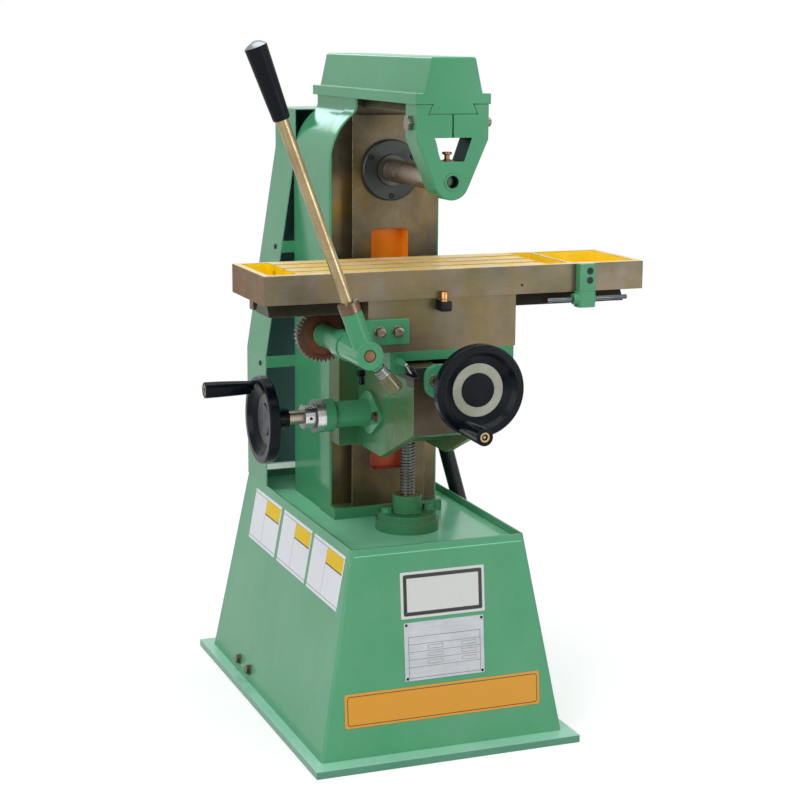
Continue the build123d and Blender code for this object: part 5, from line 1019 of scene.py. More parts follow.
# Black of the engraved lines, also used for the painted shade at the crank dial's big step.
DIAL_MARKS_AND_SHADE = Turned(tint(30, 30, 30), metallic=0.2)
GRIP_CAP = Turned(tint(142, 145, 148), stain=tint(106, 106, 104), spread=0.3)
GRIP_BLACK = Moulded(tint(14, 18, 23), gloss=0.4, specular=0.1)
WHEEL_BLACK = Moulded(tint(7, 14, 21), gloss=0.22, specular=0.12)
RUBBER = Moulded(tint(20, 23, 26), gloss=0.34, specular=0.25)
SEAM_BLACK = Moulded(tint(16, 26, 22), gloss=0.6)


@dataclass
class Wardrobe:
    """Holds the finish of every CAD node."""

    shop: Paintshop
    finishes: dict[str, bpy.types.Material] = field(default_factory=dict)

    def wear(self, name: str, finish: Finish, *nodes: str, **mix: Any) -> None:
        """Give one material to several nodes.

        Args:
            name: The material's name.
            finish: Its base finish.
            nodes: The nodes that wear it.
            mix: What else the paintshop is told.
        """
        self.finishes |= dict.fromkeys(nodes, self.shop.mix(name, finish, **mix))

    def green(self, name: str, *nodes: str, base: Finish = GREEN, rounding: float = 1.5, **mix: Any) -> None:
        """Give several nodes machine green, with edges lighter from wear and from a painted highlight, and
        with bare or other zones.
        """
        self.wear(name, base, *nodes, rounding=rounding, wear=0.55, **mix)

    def dress(self, nodes: dict[str, bpy.types.Object]) -> None:
        """Put the finishes on the nodes.

        Args:
            nodes: The CAD nodes by name.
        """
        for name, node in nodes.items():
            node.data.materials.clear()
            node.data.materials.append(self.finishes[name])
        log.info("dressed %d CAD nodes", len(nodes))


# Sub-assemblies of CAD nodes. Their zones reach a little past the faces that they colour.


@dataclass
class Pedestal:
    """Pedestal with its tray, base plate, nut base, conduit and belt."""

    tray_half: float = 164.0

    def dress(self, wardrobe: Wardrobe) -> None:
        """Green made lighter as painted light, a tray floor paler still as painted light, a base plate with a
        painted highlight on its top and painted shade on its edge, and black rubber.

        Args:
            wardrobe: Where the finishes go.
        """
        tray, top = Box.of("column").low[2], Box.of("base_plate").high[2]
        floor = (Zone(x=each_side(self.tray_half), z=(tray - 1.0, tray + 0.6), ragged=0.2), TRAY_PAINTED_LIGHT)
        # The base plate's top is paler as a painted highlight.
        lit_top = (Zone(z=beyond(top - 0.6), ragged=0.2), BASE_TOP_LIT)
        wardrobe.green("pedestal_green", "pedestal", base=PEDESTAL_LIT_GREEN, rounding=2.0, layers=[floor])
        wardrobe.green("base_plate_green", "base_plate", base=BASE_EDGE_SHADED, rounding=2.0, layers=[lit_top])
        # Nut base: its darker green is painted shade under the knee.
        wardrobe.green("nut_base_green", "nut_base", base=OILED_AND_SHADED_GREEN, rounding=2.0)
        wardrobe.wear("rubber_black", RUBBER, "v_belt", "power_conduit", rounding=0.8)


@dataclass
class Column:
    """Column with its ways and a pocket in them, belt guard, and the small green castings."""

    ways_half: float = 106.5
    ways_back: float = -33.8
    ways_foot: float = 402.05
    pocket_half: float = 37.3
    pocket_depth: Flat = (-59.7, -20.0)
    pocket_foot: float = 470.7
    pocket_parting: float = 700.0
    pocket_top: float = 936.3

    def dress(self, wardrobe: Wardrobe) -> None:
        """Green with bare ways and a pocket in two colours, and a guard whose inside takes a bluer tone as
        painted shade.

        Args:
            wardrobe: Where the finishes go.
        """
        ways = Zone(x=each_side(self.ways_half), y=up_to(self.ways_back), z=beyond(self.ways_foot))
        pocket = Zone(x=each_side(self.pocket_half), y=self.pocket_depth)
        upper = replace(pocket, z=(self.pocket_parting, self.pocket_top))
        lower = replace(pocket, z=(self.pocket_foot, self.pocket_parting))
        layers = [(ways, WAYS_IRON), (upper, ORANGE), (lower, RED_OXIDE)]
        wardrobe.green("column_green_and_ways", "column", layers=layers)
        inside = [(GuardInside(), GUARD_SHADE_TINT)]
        wardrobe.green("guard_green_and_shade_tint", "belt_guard", base=GUARD_GREEN, rounding=1.0, layers=inside)
        # The tie bar is pale metal, made brighter still as painted light so that it reads in the shade behind
        # the column.
        wardrobe.wear("tie_bar_pale_and_lit", TIE_BAR, "guard_tie_bar")
        small = ("crank_housing", "cross_bracket", "guard_brackets", "feed_housing", "lever_hub")
        wardrobe.green("enamel_green", *small, "stop_block", "motor_plate", rounding=2.0)


@dataclass
class Overarm:
    """Overarm and arbor support, with one seam between them, and the support's bush."""

    neck_half: float = 38.0
    foot_half: float = 45.0
    window_half: float = 40.0
    window_heights: Flat = (1070.0, 1130.0)
    bore_r: float = 11.2

    def dress(self, wardrobe: Wardrobe) -> None:
        """Green with a bare dovetail, painted shade inside the support's window and painted shade in the
        bore.

        Args:
            wardrobe: Where the finishes go.
        """
        arm, support = Box.of("overarm"), Box.of("arbor_support")
        front, parting, under = support.low[1], support.high[2], arm.low[2]
        corners = ((arm.high[0], parting), (self.neck_half, parting), (self.foot_half, under), (0.0, under))
        seam = (Seam(corners, front + 0.4), SEAM_BLACK)
        window = Zone(x=each_side(self.window_half), y=beyond(front + 1.0), z=self.window_heights, ragged=0.0)
        wardrobe.green("support_green", "arbor_support", layers=[(window, WINDOW_PAINTED_SHADE), seam])
        dovetail = Zone(y=beyond(front + 0.3), z=up_to(parting - 0.3))
        wardrobe.green("overarm_green_and_dovetail", "overarm", layers=[(dovetail, WAYS_IRON), seam])
        # The bush's bore takes the seam's black as painted shade.
        bore = Bore(Box.of("arbor").middle(), ALONG_Y, self.bore_r)
        wardrobe.green("bush_green", "support_bush", rounding=0.6, layers=[(bore, SEAM_BLACK)])


@dataclass
class Spindle:
    """Spindle with its bearings and cover, arbor with its collars, and the drive."""

    collars: int = 20
    shaded_end: float = 3.0

    def dress(self, wardrobe: Wardrobe) -> None:
        """Turned steel with brown joints between the collars, and painted shade with a painted green
        reflection on the arbor's end.

        Args:
            wardrobe: Where the finishes go.
        """
        row, arbor = Box.of("arbor_collars"), Box.of("arbor")
        joints = (Joints(row.low[1], (row.high[1] - row.low[1]) / self.collars), JOINT_BROWN)
        shaded_end = (Zone(y=up_to(arbor.low[1] + self.shaded_end), ragged=0.0), ARBOR_END_SHADE)
        wardrobe.wear("arbor_steel", STEEL, "arbor", layers=[shaded_end])
        wardrobe.wear("collar_steel", COLLAR_STEEL, "arbor_collars", layers=[joints], rounding=0.3)
        wardrobe.wear("spindle_darkened", SPINDLE_DARK, "spindle", rounding=0.6)
        wardrobe.wear("cover_blackened", COVER_DARK, "bearing_cover", rounding=1.0)
        inside = ("spindle_bearings", "cross_screw", "motor_shaft", "elevating_screw")
        wardrobe.wear("steel_turned_along_y", STEEL, *inside)
        wardrobe.wear("pulley_aluminium", ALUMINIUM, "spindle_pulley", "motor_pulley", rounding=0.5)
        wardrobe.wear("motor_grey", MOTOR_GREY, "motor", rounding=0.8)


@dataclass
class Knee:
    """Knee with its gibs and bolts, and the gears and nuts inside it."""

    ways_half: float = 80.0
    ways_back: float = -60.0
    ways_depth: float = 18.3
    head_heights: Flat = (690.0, 720.0)
    head_depth: float = 32.0
    shade_foot: float = 700.0

    def dress(self, wardrobe: Wardrobe) -> None:
        """Oiled green darkened as painted shade, with a bare front, bare ways, and darker iron on the knee's
        head as painted shade under the saddle.

        Args:
            wardrobe: Where the finishes go.
        """
        box = Box.of("knee")
        front, top = box.low[1], box.high[2]
        middle = Zone(x=each_side(self.ways_half))
        head = replace(middle, y=up_to(front + self.head_depth), z=self.head_heights)
        ways = replace(middle, y=(front - 2.0, self.ways_back), z=beyond(top - self.ways_depth))
        shaded_head = replace(middle, y=up_to(self.ways_back), z=(self.shade_foot, top - 0.6), ragged=3.0)
        face = Zone(y=up_to(front + 0.4))
        layers = [(face, KNEE_IRON), (head, KNEE_IRON), (ways, WAYS_IRON), (shaded_head, KNEE_HEAD_SHADE)]
        wardrobe.green("knee_green_and_bare", "knee", base=OILED_AND_SHADED_GREEN, layers=layers)
        wardrobe.wear("gib_iron", GIB_IRON, "saddle_gib", "knee_gib", rounding=0.5)
        wardrobe.wear("gear_iron", GEAR_IRON, "crank_bevel", "screw_bevel")
        wardrobe.wear("bronze_turned", BRONZE, "elevating_nut", "cross_nut", rounding=0.5)
        bolts = ("flange_bolts", "feed_housing_bolts", "support_clamp_bolt", "frame_bolts")
        wardrobe.wear("bolt_steel", BOLT_STEEL, *bolts, rounding=0.6)


@dataclass
class Handwheels:
    """Both handwheels with their handles, dials and shafts."""

    crank_lines: float = 60.0
    crank_shade_band: float = 19.8
    shade_band_width: float = 1.6
    cross_lines: float = 50.0
    cross_back: float = -397.0

    def dress(self, wardrobe: Wardrobe) -> None:
        """Moulded black wheels, and chromed dials with engraved lines and painted shade on the crank dial's
        step faces.

        Args:
            wardrobe: Where the finishes go.
        """
        wheels = ("knee_handwheel", "cross_handwheel", "knee_wheel_handle", "cross_wheel_handle")
        wardrobe.wear("handwheel_black", WHEEL_BLACK, *wheels, "conduit_glands", rounding=1.2)
        dial, knee, cross = (Box.of(node) for node in ("crank_dial", "knee_handwheel", "cross_handwheel"))
        groove = dial.low[0] + self.crank_shade_band
        centre = (dial.high[0], *knee.middle()[1:])
        layers = [
            (DialLines(centre, across=1, along=0, count=self.crank_lines), DIAL_MARKS_AND_SHADE),
            # A dark band at the big step's face: painted shade, in the black of the engraved lines.
            (Zone(x=(groove, groove + self.shade_band_width), ragged=0.0), DIAL_MARKS_AND_SHADE),
            (Zone(x=up_to(dial.low[0] + 0.4), ragged=0.0), DIAL_END_SHADE),
        ]
        wardrobe.wear("crank_dial_chrome", DIAL_CHROME, "crank_dial", layers=layers, rounding=0.8)
        centre = (0.0, self.cross_back, cross.middle()[2])
        layers = [(DialLines(centre, across=0, along=1, count=self.cross_lines), DIAL_MARKS_AND_SHADE)]
        wardrobe.wear("cross_dial_chrome", PLATED, "cross_dial", layers=layers, rounding=0.8)
        wardrobe.wear("steel_turned_along_x", replace(STEEL, axis=ALONG_X, spread=0.5), "crank_shaft")


@dataclass
class Table:
    """Saddle, and table with its pans, rack and stops."""

    saddle_green: Flat = (709.0, 747.8)
    under_z: float = 841.9
    pans_x: Flat = (-322.0, 379.0)
    pans_y: Flat = (-324.4, -157.6)
    pans_z: float = 866.0

    def dress(self, wardrobe: Wardrobe) -> None:
        """Bare iron: a saddle with a green lower block, and a table with a bright top, amber pans and painted
        shade on its underside.

        Args:
            wardrobe: Where the finishes go.
        """
        block = (Zone(z=self.saddle_green), GREEN)
        wardrobe.wear("saddle_bare_and_green", TABLE_IRON, "saddle", layers=[block], rounding=1.0)
        box = Box.of("table")
        end, top = box.low[0], box.high[2]
        layers = [
            (Zone(z=beyond(top - 0.2), ragged=0.0), TOP_IRON),
            (Zone(x=up_to(end + 0.3), ragged=0.0), END_IRON),
            (Zone(z=up_to(self.under_z), ragged=0.0), UNDER_IRON_SHADE),
            (Zone(x=self.pans_x, y=self.pans_y, z=(self.pans_z, top - 0.8)), AMBER),
        ]
        edge = {"rounding": 0.8, "wear": 0.6, "worn_and_lit": tint(226, 208, 170)}
        wardrobe.wear("table_bare_and_amber", TABLE_IRON, "table", layers=layers, **edge)
        wardrobe.wear("rack_iron", RACK_IRON, "table_rack")
        wardrobe.wear("stop_rod_steel", STOP_ROD_STEEL, "stop_rod")
        wardrobe.wear("stop_dog_black", BLACKENED, "stop_dog", rounding=0.6)


@dataclass
class LeverFeed:
    """Lever feed: gear, shaft, rod, collar, grip and index plunger, about the lever's pivot."""

    web_r: float = 37.5
    pin_r: float = 8.6
    cap: Flat = (544.0, 600.0)
    knob: Flat = (50.5, 120.0)
    plunger_lean: float = math.radians(-49.0)

    def dress(self, wardrobe: Wardrobe) -> None:
        """Brown gear, a pin darker outside its face as painted shade, steel rod and collar, a black grip with
        a cap, and the plunger.

        Args:
            wardrobe: Where the finishes go.
        """
        shaft, rod = Box.of("feed_shaft").middle(), Box.of("lever_rod").middle()
        pivot = (shaft[0], rod[1], shaft[2])
        lean = math.atan2(pivot[0] - rod[0], rod[2] - pivot[2])
        out = (-math.sin(lean), 0.0, math.cos(lean))
        aside = (math.cos(self.plunger_lean), 0.0, math.sin(self.plunger_lean))
        web = (Bore(pivot, ALONG_Y, self.web_r), GEAR_IRON)
        face = (Bore(pivot, ALONG_Y, self.pin_r), PIN_RUST)
        wardrobe.wear("feed_gear_iron", TEETH_IRON, "feed_gear", layers=[web])
        wardrobe.wear("pin_steel", PIN_RIM_SHADE, "feed_shaft", layers=[face], rounding=0.6)
        wardrobe.wear("lever_rod_steel", replace(LEVER_STEEL, axis=out), "lever_rod")
        wardrobe.wear("lever_collar_steel", replace(LEVER_COLLAR, axis=out), "lever_collar", rounding=0.8)
        cap = (Band(pivot, out, *self.cap), GRIP_CAP)
        wardrobe.wear("grip_black_and_cap", GRIP_BLACK, "lever_grip", layers=[cap], rounding=1.2)
        knob = (Band(pivot, aside, *self.knob), replace(PLUNGER_KNOB, axis=aside))
        sleeve = replace(PLUNGER_SLEEVE, axis=aside)
        wardrobe.wear("plunger_chrome", sleeve, "index_plunger", layers=[knob], rounding=0.5)


# Surfaces


@dataclass(frozen=True)
class Axes:
    """A place and the direction that a piece's own height points in."""

    origin: Point
    out: Vec

    def place(self, local: np.ndarray) -> np.ndarray:
        """Points from these axes to the machine's.

        Args:
            local: Points with their height along the outward direction.

        Returns:
            The points in the machine's axes, still in millimetres.
        """
        out = np.array(self.out) / np.linalg.norm(self.out)
        upright = abs(out[2]) > 1 - 1e-9
        across = np.cross(ALONG_Y if upright else UP, out)
        across = across / np.linalg.norm(across)
        return np.array(self.origin) + local @ np.array([across, np.cross(out, across), out])


@dataclass
class Shell:
    """A surface: its points, its faces and, on a plate, the flat place of each point."""

    points: np.ndarray
    faces: list[list[int]]
    flat: np.ndarray | None = None

    def moved(self, origin: Point, out: Vec) -> "Shell":
        """The shell stood on a place, with its height in an outward direction."""
        return self.on(Axes(origin, out))

    def on(self, axes: Axes) -> "Shell":
        """The shell set on other axes."""
        return Shell(axes.place(self.points), self.faces, self.flat)


def skin(rings: np.ndarray) -> Shell:
    """Surface through closed rings: quads join each ring to the next, and flat faces close the ends.

    Args:
        rings: Points, by ring, by place round it and by axis; each ring turns left about the way they go.

    Returns:
        The shell, with its faces outwards; the end faces come last.
    """
    count, around, _ = rings.shape
    ring = np.arange(count - 1)[:, None] * around
    here = np.arange(around)[None, :]
    there = (here + 1) % around
    quads = np.stack([ring + here, ring + there, ring + around + there, ring + around + here], axis=-1)
    faces = quads.reshape(-1, 4).tolist()
    faces.append(list(range(around))[::-1])
    faces.append(list(range((count - 1) * around, count * around)))
    return Shell(rings.reshape(-1, 3), faces)


def angles(sides: int) -> np.ndarray:
    """Equal steps round a full turn."""
    return np.arange(sides) * TURN / sides


def revolved(radii: np.ndarray, heights: np.ndarray) -> Shell:
    """Surface about the height axis whose radius may change round it: (r cos t, r sin t, h).

    Args:
        radii: Radius by ring and by place round it.
        heights: Height by ring and, where it changes, by place round it.

    Returns:
        The closed shell.
    """
    turn = angles(radii.shape[1])
    heights = np.broadcast_to(heights, radii.shape)
    return skin(np.stack([radii * np.cos(turn), radii * np.sin(turn), heights], axis=-1))


def lathe(profile: Sequence[Flat] | np.ndarray, sides: int = 48) -> Shell:
    """A profile of radius and height carried round the height axis."""
    radius, height = np.array(profile).T
    return revolved(np.tile(radius[:, None], sides), height[:, None])


def flats(turn: np.ndarray, across: float, count: int = 6) -> np.ndarray:
    """Radius of a polygon at each angle: half its width over the cosine of the angle from a flat."""
    step = TURN / count
    return across / 2 / np.cos((turn + step / 2) % step - step / 2)


def join(shells: Sequence[Shell]) -> Shell:
    """Several shells as one.

    Args:
        shells: The shells, without flat places.

    Returns:
        One shell with all their points and faces.
    """
    starts = np.cumsum([0] + [len(shell.points) for shell in shells]).tolist()
    pairs = [(face, start) for shell, start in zip(shells, starts) for face in shell.faces]
    faces = [[start + corner for corner in face] for face, start in pairs]
    return Shell(np.concatenate([shell.points for shell in shells]), faces)


def washer(inner: float, outer: float, thick: float, sides: int = 96) -> Shell:
    """A flat ring with broken edges: its closed profile carried round, the last ring joined to the first.

    Args:
        inner: Radius of its bore.
        outer: Radius of its rim.
        thick: Its thickness.
        sides: Points round it.

    Returns:
        The shell, lying on its seat.
    """
    edge = 0.35
    outside = [(inner, 0.0), (outer, 0.0), (outer, thick - edge), (outer - edge, thick)]
    profile = [*outside, (inner + edge, thick), (inner, thick - edge)]
    made = lathe(profile, sides)
    here = np.arange(sides)
    there = (here + 1) % sides
    last = (len(profile) - 1) * sides
    seam = np.stack([last + here, last + there, there, here], axis=-1)
    made.faces = made.faces[:-2] + seam.tolist()
    return made


def socket_screw(radius: float, height: float, key: float) -> Shell:
    """Head of a cap screw: a chamfered drum whose last rings follow the hexagon of its socket.

    Args:
        radius: Radius of the head.
        height: Height of the head.
        key: Width of the socket across its flats.

    Returns:
        The head, standing on its seat.
    """
    turn = angles(36)
    edge = radius * 0.12
    drum = [np.full_like(turn, size) for size in (radius, radius, radius - edge)]
    socket = [flats(turn, key * 1.12), flats(turn, key), flats(turn, key)]
    heights = np.array([0.0, height - edge, height, height, height - edge, height * 0.45])
    return revolved(np.array(drum + socket), heights[:, None])


def rounded_outline(half: Flat, corner: float, steps: int = 6) -> np.ndarray:
    """Outline of a rounded rectangle: a quarter circle about each corner's centre, turning left.

    Args:
        half: Half its width and half its height.
        corner: Radius of its corners.
        steps: Points on each corner.

    Returns:
        The outline's points.
    """
    quarter = np.linspace(0, TURN / 4, steps)
    turn = np.arange(4)[:, None] * TURN / 4 + quarter
    signs = np.array([[1, 1], [-1, 1], [-1, -1], [1, -1]])
    centres = signs * (np.array(half) - corner)
    arcs = centres[:, None, :] + corner * np.stack([np.cos(turn), np.sin(turn)], axis=-1)
    return arcs.reshape(-1, 2)


def plate(half: Flat, corner: float, thick: float) -> Shell:
    """A thin plate: rounded outlines at its back, its edge and, drawn in a little, its face.

    Args:
        half: Half its width and half its height.
        corner: Radius of its corners.
        thick: Its thickness.

    Returns:
        The plate, lying on its back, with the flat place of each point.
    """
    edge = thick / 2
    outline = rounded_outline(half, corner)
    face = rounded_outline((half[0] - edge, half[1] - edge), max(corner - edge, 0.1))
    rings = np.zeros((3, len(outline), 3))
    rings[..., :2] = [outline, outline, face]
    rings[..., 2] = np.array([0.0, edge, thick])[:, None]
    made = skin(rings)
    made.flat = made.points[:, :2].copy()
    return made


@dataclass
class Bench:
    """Puts finished pieces into the scene and counts them."""

    count: int = 0
    crease: float = math.radians(32.0)

    def add(
        self,
        name: str,
        shell: Shell,
        material: bpy.types.Material,
        body: str,
        slot: Slot | None = None,
        replaces: Sequence[str] = (),
    ) -> None:
        """Make a piece that rides on a body.

        Args:
            name: Its name.
            shell: Its surface, in the machine's axes and in millimetres.
            material: Its finish.
            body: The CAD body it moves with.
            slot: Not used.
            replaces: CAD nodes that it stands for.
        """
        mesh = bpy.data.meshes.new(name)
        mesh.from_pydata(shell.points * MM, [], shell.faces)
        mesh.polygons.foreach_set("use_smooth", np.ones(len(mesh.polygons), dtype=bool))
        if shell.flat is not None:
            corners = np.empty(len(mesh.loops), dtype=np.int32)
            mesh.loops.foreach_get("vertex_index", corners)
            layer = mesh.uv_layers.new(name="plate")
            layer.data.foreach_set("uv", (shell.flat[corners] * MM).astype(np.float32).ravel())
        mesh.update()
        mesh.set_sharp_from_angle(angle=self.crease)
        mesh.materials.append(material)
        piece = bpy.data.objects.new(name, mesh)
        bpy.context.scene.collection.objects.link(piece)
        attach(piece, body)
        if replaces:
            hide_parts(*replaces)
        self.count += 1
        log.info("%s rides on %s", name, body)


# Sub-assemblies of new pieces


@dataclass
class ElevatingScrew:
    """Screw under the knee, with a cut trapezium thread below its collar."""

    foot: Vec = (0.0, -160.0, 0.0)
    bottom: float = 250.0
    collar_z: float = 566.1
    collar_r: float = 24.0
    collar_thick: float = 8.0
    neck_r: float = 8.0
    top: float = 595.0
    thread_r: float = 14.0
    lead: float = 6.0
    depth: float = 2.6
    point: float = 2.8
    run_out: float = 4.0
    edge: float = 0.8
    sides: int = 48
    rings_per_turn: int = 12
    flank: float = 1.6

    def collar(self) -> np.ndarray:
        """Radius and height of each corner from the collar up to the neck's end.

        Returns:
            The corners, from below.
        """
        edge, under, over = self.edge, self.collar_z, self.collar_z + self.collar_thick
        seat = [(self.thread_r, under), (self.collar_r - edge, under), (self.collar_r, under + edge)]
        shoulder = [(self.collar_r, over - edge), (self.collar_r - edge, over), (self.neck_r, over)]
        end = [(self.neck_r, self.top - edge), (self.neck_r - edge, self.top)]
        return np.array(seat + shoulder + end)

    def surface(self) -> Shell:
        """Thread, collar and neck as one surface.

        The radius of the thread is its crest less its depth times a trapezium wave of
        height / lead - angle / turn; the wave fades out at both ends.

        Returns:
            The shell, in the machine's axes.
        """
        turn = angles(self.sides)
        height = np.arange(self.bottom, self.collar_z, self.lead / self.rings_per_turn)
        wave = np.abs(((height[:, None] / self.lead - turn / TURN) % 1.0) - 0.5) * 4 - 1
        cut = np.clip(wave * self.flank + 0.5, 0.0, 1.0)
        ends = np.minimum(height - self.bottom, self.collar_z - height) / self.run_out
        thread = self.thread_r - self.depth * cut * np.clip(ends, 0.0, 1.0)[:, None]
        upper = self.collar()
        tip = np.full((1, self.sides), self.thread_r - self.point)
        radii = np.concatenate([tip, thread, np.tile(upper[:, :1], self.sides)])
        just_above = 1e-3
        heights = np.concatenate([[self.bottom], height + just_above, upper[:, 1]])
        return revolved(radii, heights[:, None]).moved(self.foot, UP)

    def build(self, bench: Bench, shop: Paintshop) -> None:
        """Cut the screw and put it in its node's place."""
        steel, node = shop.mix("elevating_screw_steel", SCREW_STEEL, rounding=0.3), "elevating_screw"
        bench.add("elevating_screw_thread", self.surface(), steel, node, Slot.STEEL, [node])


@dataclass
class Wheel:
    """Trim of a handwheel: the ring on its web, and the brass ring and rivet in its handle's end."""

    name: str
    body: str
    centre: Vec
    out: Vec
    handle_axis: Vec
    web_sink: float = 16.0
    ring_outer: float = 46.6
    ring_inner: float = 29.2
    ring_thick: float = 1.0
    handle_reach: float = 85.0
    collar_r: float = 8.7
    collar_height: float = 2.3
    collar_bore: float = 5.4
    rivet_r: float = 3.3
    rivet_height: float = 1.8

    def build(self, bench: Bench, ring: bpy.types.Material, brass: bpy.types.Material) -> None:
        """Make the ring on the web, and the brass ring and the domed rivet in the handle's end.

        Args:
            bench: Where the pieces go.
            ring: Finish of the ring and of the rivet.
            brass: Finish of the brass ring.
        """
        out = np.array(self.out)
        seat = np.array(self.centre) - self.web_sink * out
        band = washer(self.ring_inner, self.ring_outer, self.ring_thick).moved(seat, self.out)
        bench.add(f"{self.name}_ring", band, ring, self.body, Slot.ALUMINIUM)
        head = np.array(self.handle_axis) + self.handle_reach * out
        collar = washer(self.collar_bore, self.collar_r, self.collar_height, sides=48)
        bench.add(f"{self.name}_handle_collar", collar.moved(head, self.out), brass, self.body, Slot.BRASS)
        rise = np.linspace(0.0, TURN / 4 - 0.05, 8)
        dome = np.stack([self.rivet_r * np.cos(rise), self.rivet_height * np.sin(rise)], axis=-1)
        shell = lathe(dome, 32).moved(head, self.out)
        bench.add(f"{self.name}_handle_rivet", shell, ring, self.body, Slot.STEEL)


@dataclass
class Screws:
    """Small blackened screws, by radius, height and socket width of their heads, and an oil plug."""

    cover_head: Vec = (5.0, 3.0, 4.0)
    cover_centre: Vec = (0.0, -70.0, 1046.5)
    cover_radius: float = 48.0
    cover_turns: Vec = (30.0, 150.0, 270.0)
    stop_head: Vec = (6.2, 1.4, 5.0)
    stop_x: float = 275.0
    stop_face: float = -352.0
    stop_heights: Flat = (880.5, 863.5)
    guard_head: Vec = (5.0, 2.6, 4.0)
    guard_y: float = 226.0
    guard_heights: Flat = (876.0, 641.0)
    guard_sheet: float = 1.0
    plug: Vec = (147.6, -336.0, 858.3)

    def cover(self) -> Shell:
        """Three screws on the bearing cover, on a circle about its centre.

        Returns:
            The heads as one shell.
        """
        turn = np.radians(self.cover_turns)
        circle = np.stack([np.cos(turn), np.zeros_like(turn), np.sin(turn)], axis=-1)
        places = np.array(self.cover_centre) + self.cover_radius * circle
        return join([socket_screw(*self.cover_head).moved(place, FRONT) for place in places])

    def stop(self) -> Shell:
        """Two cap screws in the stop block's front."""
        places = [(self.stop_x, self.stop_face, height) for height in self.stop_heights]
        return join([socket_screw(*self.stop_head).moved(place, FRONT) for place in places])

    def guard(self) -> Shell:
        """Screws through the guard's sides into its brackets, square to the sheet.

        Returns:
            The heads as one shell.
        """
        inside = GuardInside()
        heads = []
        for height in self.guard_heights:
            above = max(0.0, height - inside.skirt_z)
            half = inside.skirt_half + self.guard_sheet - inside.slope() * above
            rise = inside.slope() if above else 0.0
            for side in (-1.0, 1.0):
                place = (side * half, self.guard_y, height)
                heads.append(socket_screw(*self.guard_head).moved(place, (side, 0.0, rise)))
        return join(heads)

    def oil_plug(self) -> Shell:
        """Small oil plug in the table's front: a turned rim round a sunk ball.

        Returns:
            The plug as one shell.
        """
        rim = [(2.4, 0.0), (2.4, 0.3), (2.0, 0.6), (1.6, 0.6), (1.4, 0.2)]
        ball = [(1.0, 0.35), (0.4, 0.5), (0.1, 0.55)]
        return lathe(rim + ball, 24).moved(self.plug, FRONT)

    def build(self, bench: Bench, black: bpy.types.Material) -> None:
        """Put every screw in its place.

        Args:
            bench: Where the pieces go.
            black: Their finish.
        """
        for name, shell, body in (
            ("cover_screws", self.cover(), "frame"),
            ("stop_block_screws", self.stop(), "table"),
            ("guard_screws", self.guard(), "frame"),
            ("table_oil_plug", self.oil_plug(), "table"),
        ):
            bench.add(name, shell, black, body, Slot.DARK)


@dataclass
class Bolts:
    """Hex bolts on round washers, with the usual chamfer on their heads."""

    washer_r: float = 11.0
    washer_thick: float = 2.0
    across: float = 16.5
    head: float = 7.3
    edge: float = 0.5
    chamfer_share: float = 0.96
    chamfer_slope: float = 0.58
    feed: tuple[Vec, ...] = ((-91.0, -340.0, 787.0), (-124.0, -340.0, 787.0))
    cross: tuple[Vec, ...] = ((-38.0, -380.0, 703.5), (38.0, -380.0, 703.5))
    crank: tuple[Vec, ...] = ((-80.0, -112.0, 608.0), (-80.0, -208.0, 608.0))
    nut_base: tuple[Vec, ...] = ((-42.0, -160.0, 413.0), (42.0, -160.0, 413.0))
    wall: tuple[Vec, ...] = ((-233.72, 104.0, 37.5), (-233.72, 174.0, 37.5))
    wall_out: Vec = (-0.98383, 0.0, 0.17912)

    def shell(self) -> Shell:
        """Washer and head as one surface.

        The head's radius follows a hexagon; its chamfer drops from a circle inside the flats by
        a share of the distance that the hexagon stands outside that circle.

        Returns:
            The shell, standing on its seat.
        """
        turn = angles(72)
        hexagon = flats(turn, self.across)
        circle = np.full_like(turn, self.across / 2 * self.chamfer_share)
        rim = np.full_like(turn, self.washer_r)
        top = self.washer_thick + self.head
        sunk_mark = [circle * 0.6, circle * 0.5, circle * 0.1]
        radii = np.array([rim, rim, rim - self.edge, hexagon, hexagon, circle, *sunk_mark])
        heights = np.zeros_like(radii)
        heights[1] = self.washer_thick - self.edge
        heights[2:4] = self.washer_thick
        heights[4] = top - (hexagon - circle) * self.chamfer_slope
        heights[5:7] = top
        heights[7:] = top - self.edge
        return revolved(radii, heights)

    def build(self, bench: Bench, shop: Paintshop) -> None:
        """Set a bolt on every seat, in place of its CAD node.

        Args:
            bench: Where the pieces go.
            shop: Where their finishes are mixed.
        """
        steel = shop.mix("bolt_heads_steel", BOLT_STEEL)
        painted = shop.mix("bolt_heads_painted", GREEN, rounding=0.6, wear=0.5)
        oiled = shop.mix("bolt_heads_oiled", WALL_BOLT)
        head = self.shell()
        feed = [head.moved(place, FRONT) for place in self.feed]
        knee = [head.moved(place, FRONT) for place in self.cross]
        knee += [head.moved(place, LEFT) for place in self.crank]
        base = [head.moved(place, UP) for place in self.nut_base]
        wall = [head.moved(place, self.wall_out) for place in self.wall]
        for name, heads, body, material, nodes in (
            ("feed_housing_bolt_heads", feed, "saddle", steel, ["feed_housing_bolts"]),
            ("flange_bolt_heads", knee, "knee", steel, ["flange_bolts"]),
            ("nut_base_bolt_heads", base, "frame", painted, ["frame_bolts"]),
            ("wall_bolt_heads", wall, "frame", oiled, []),
        ):
            bench.add(name, join(heads), material, body, Slot.DARK, nodes)


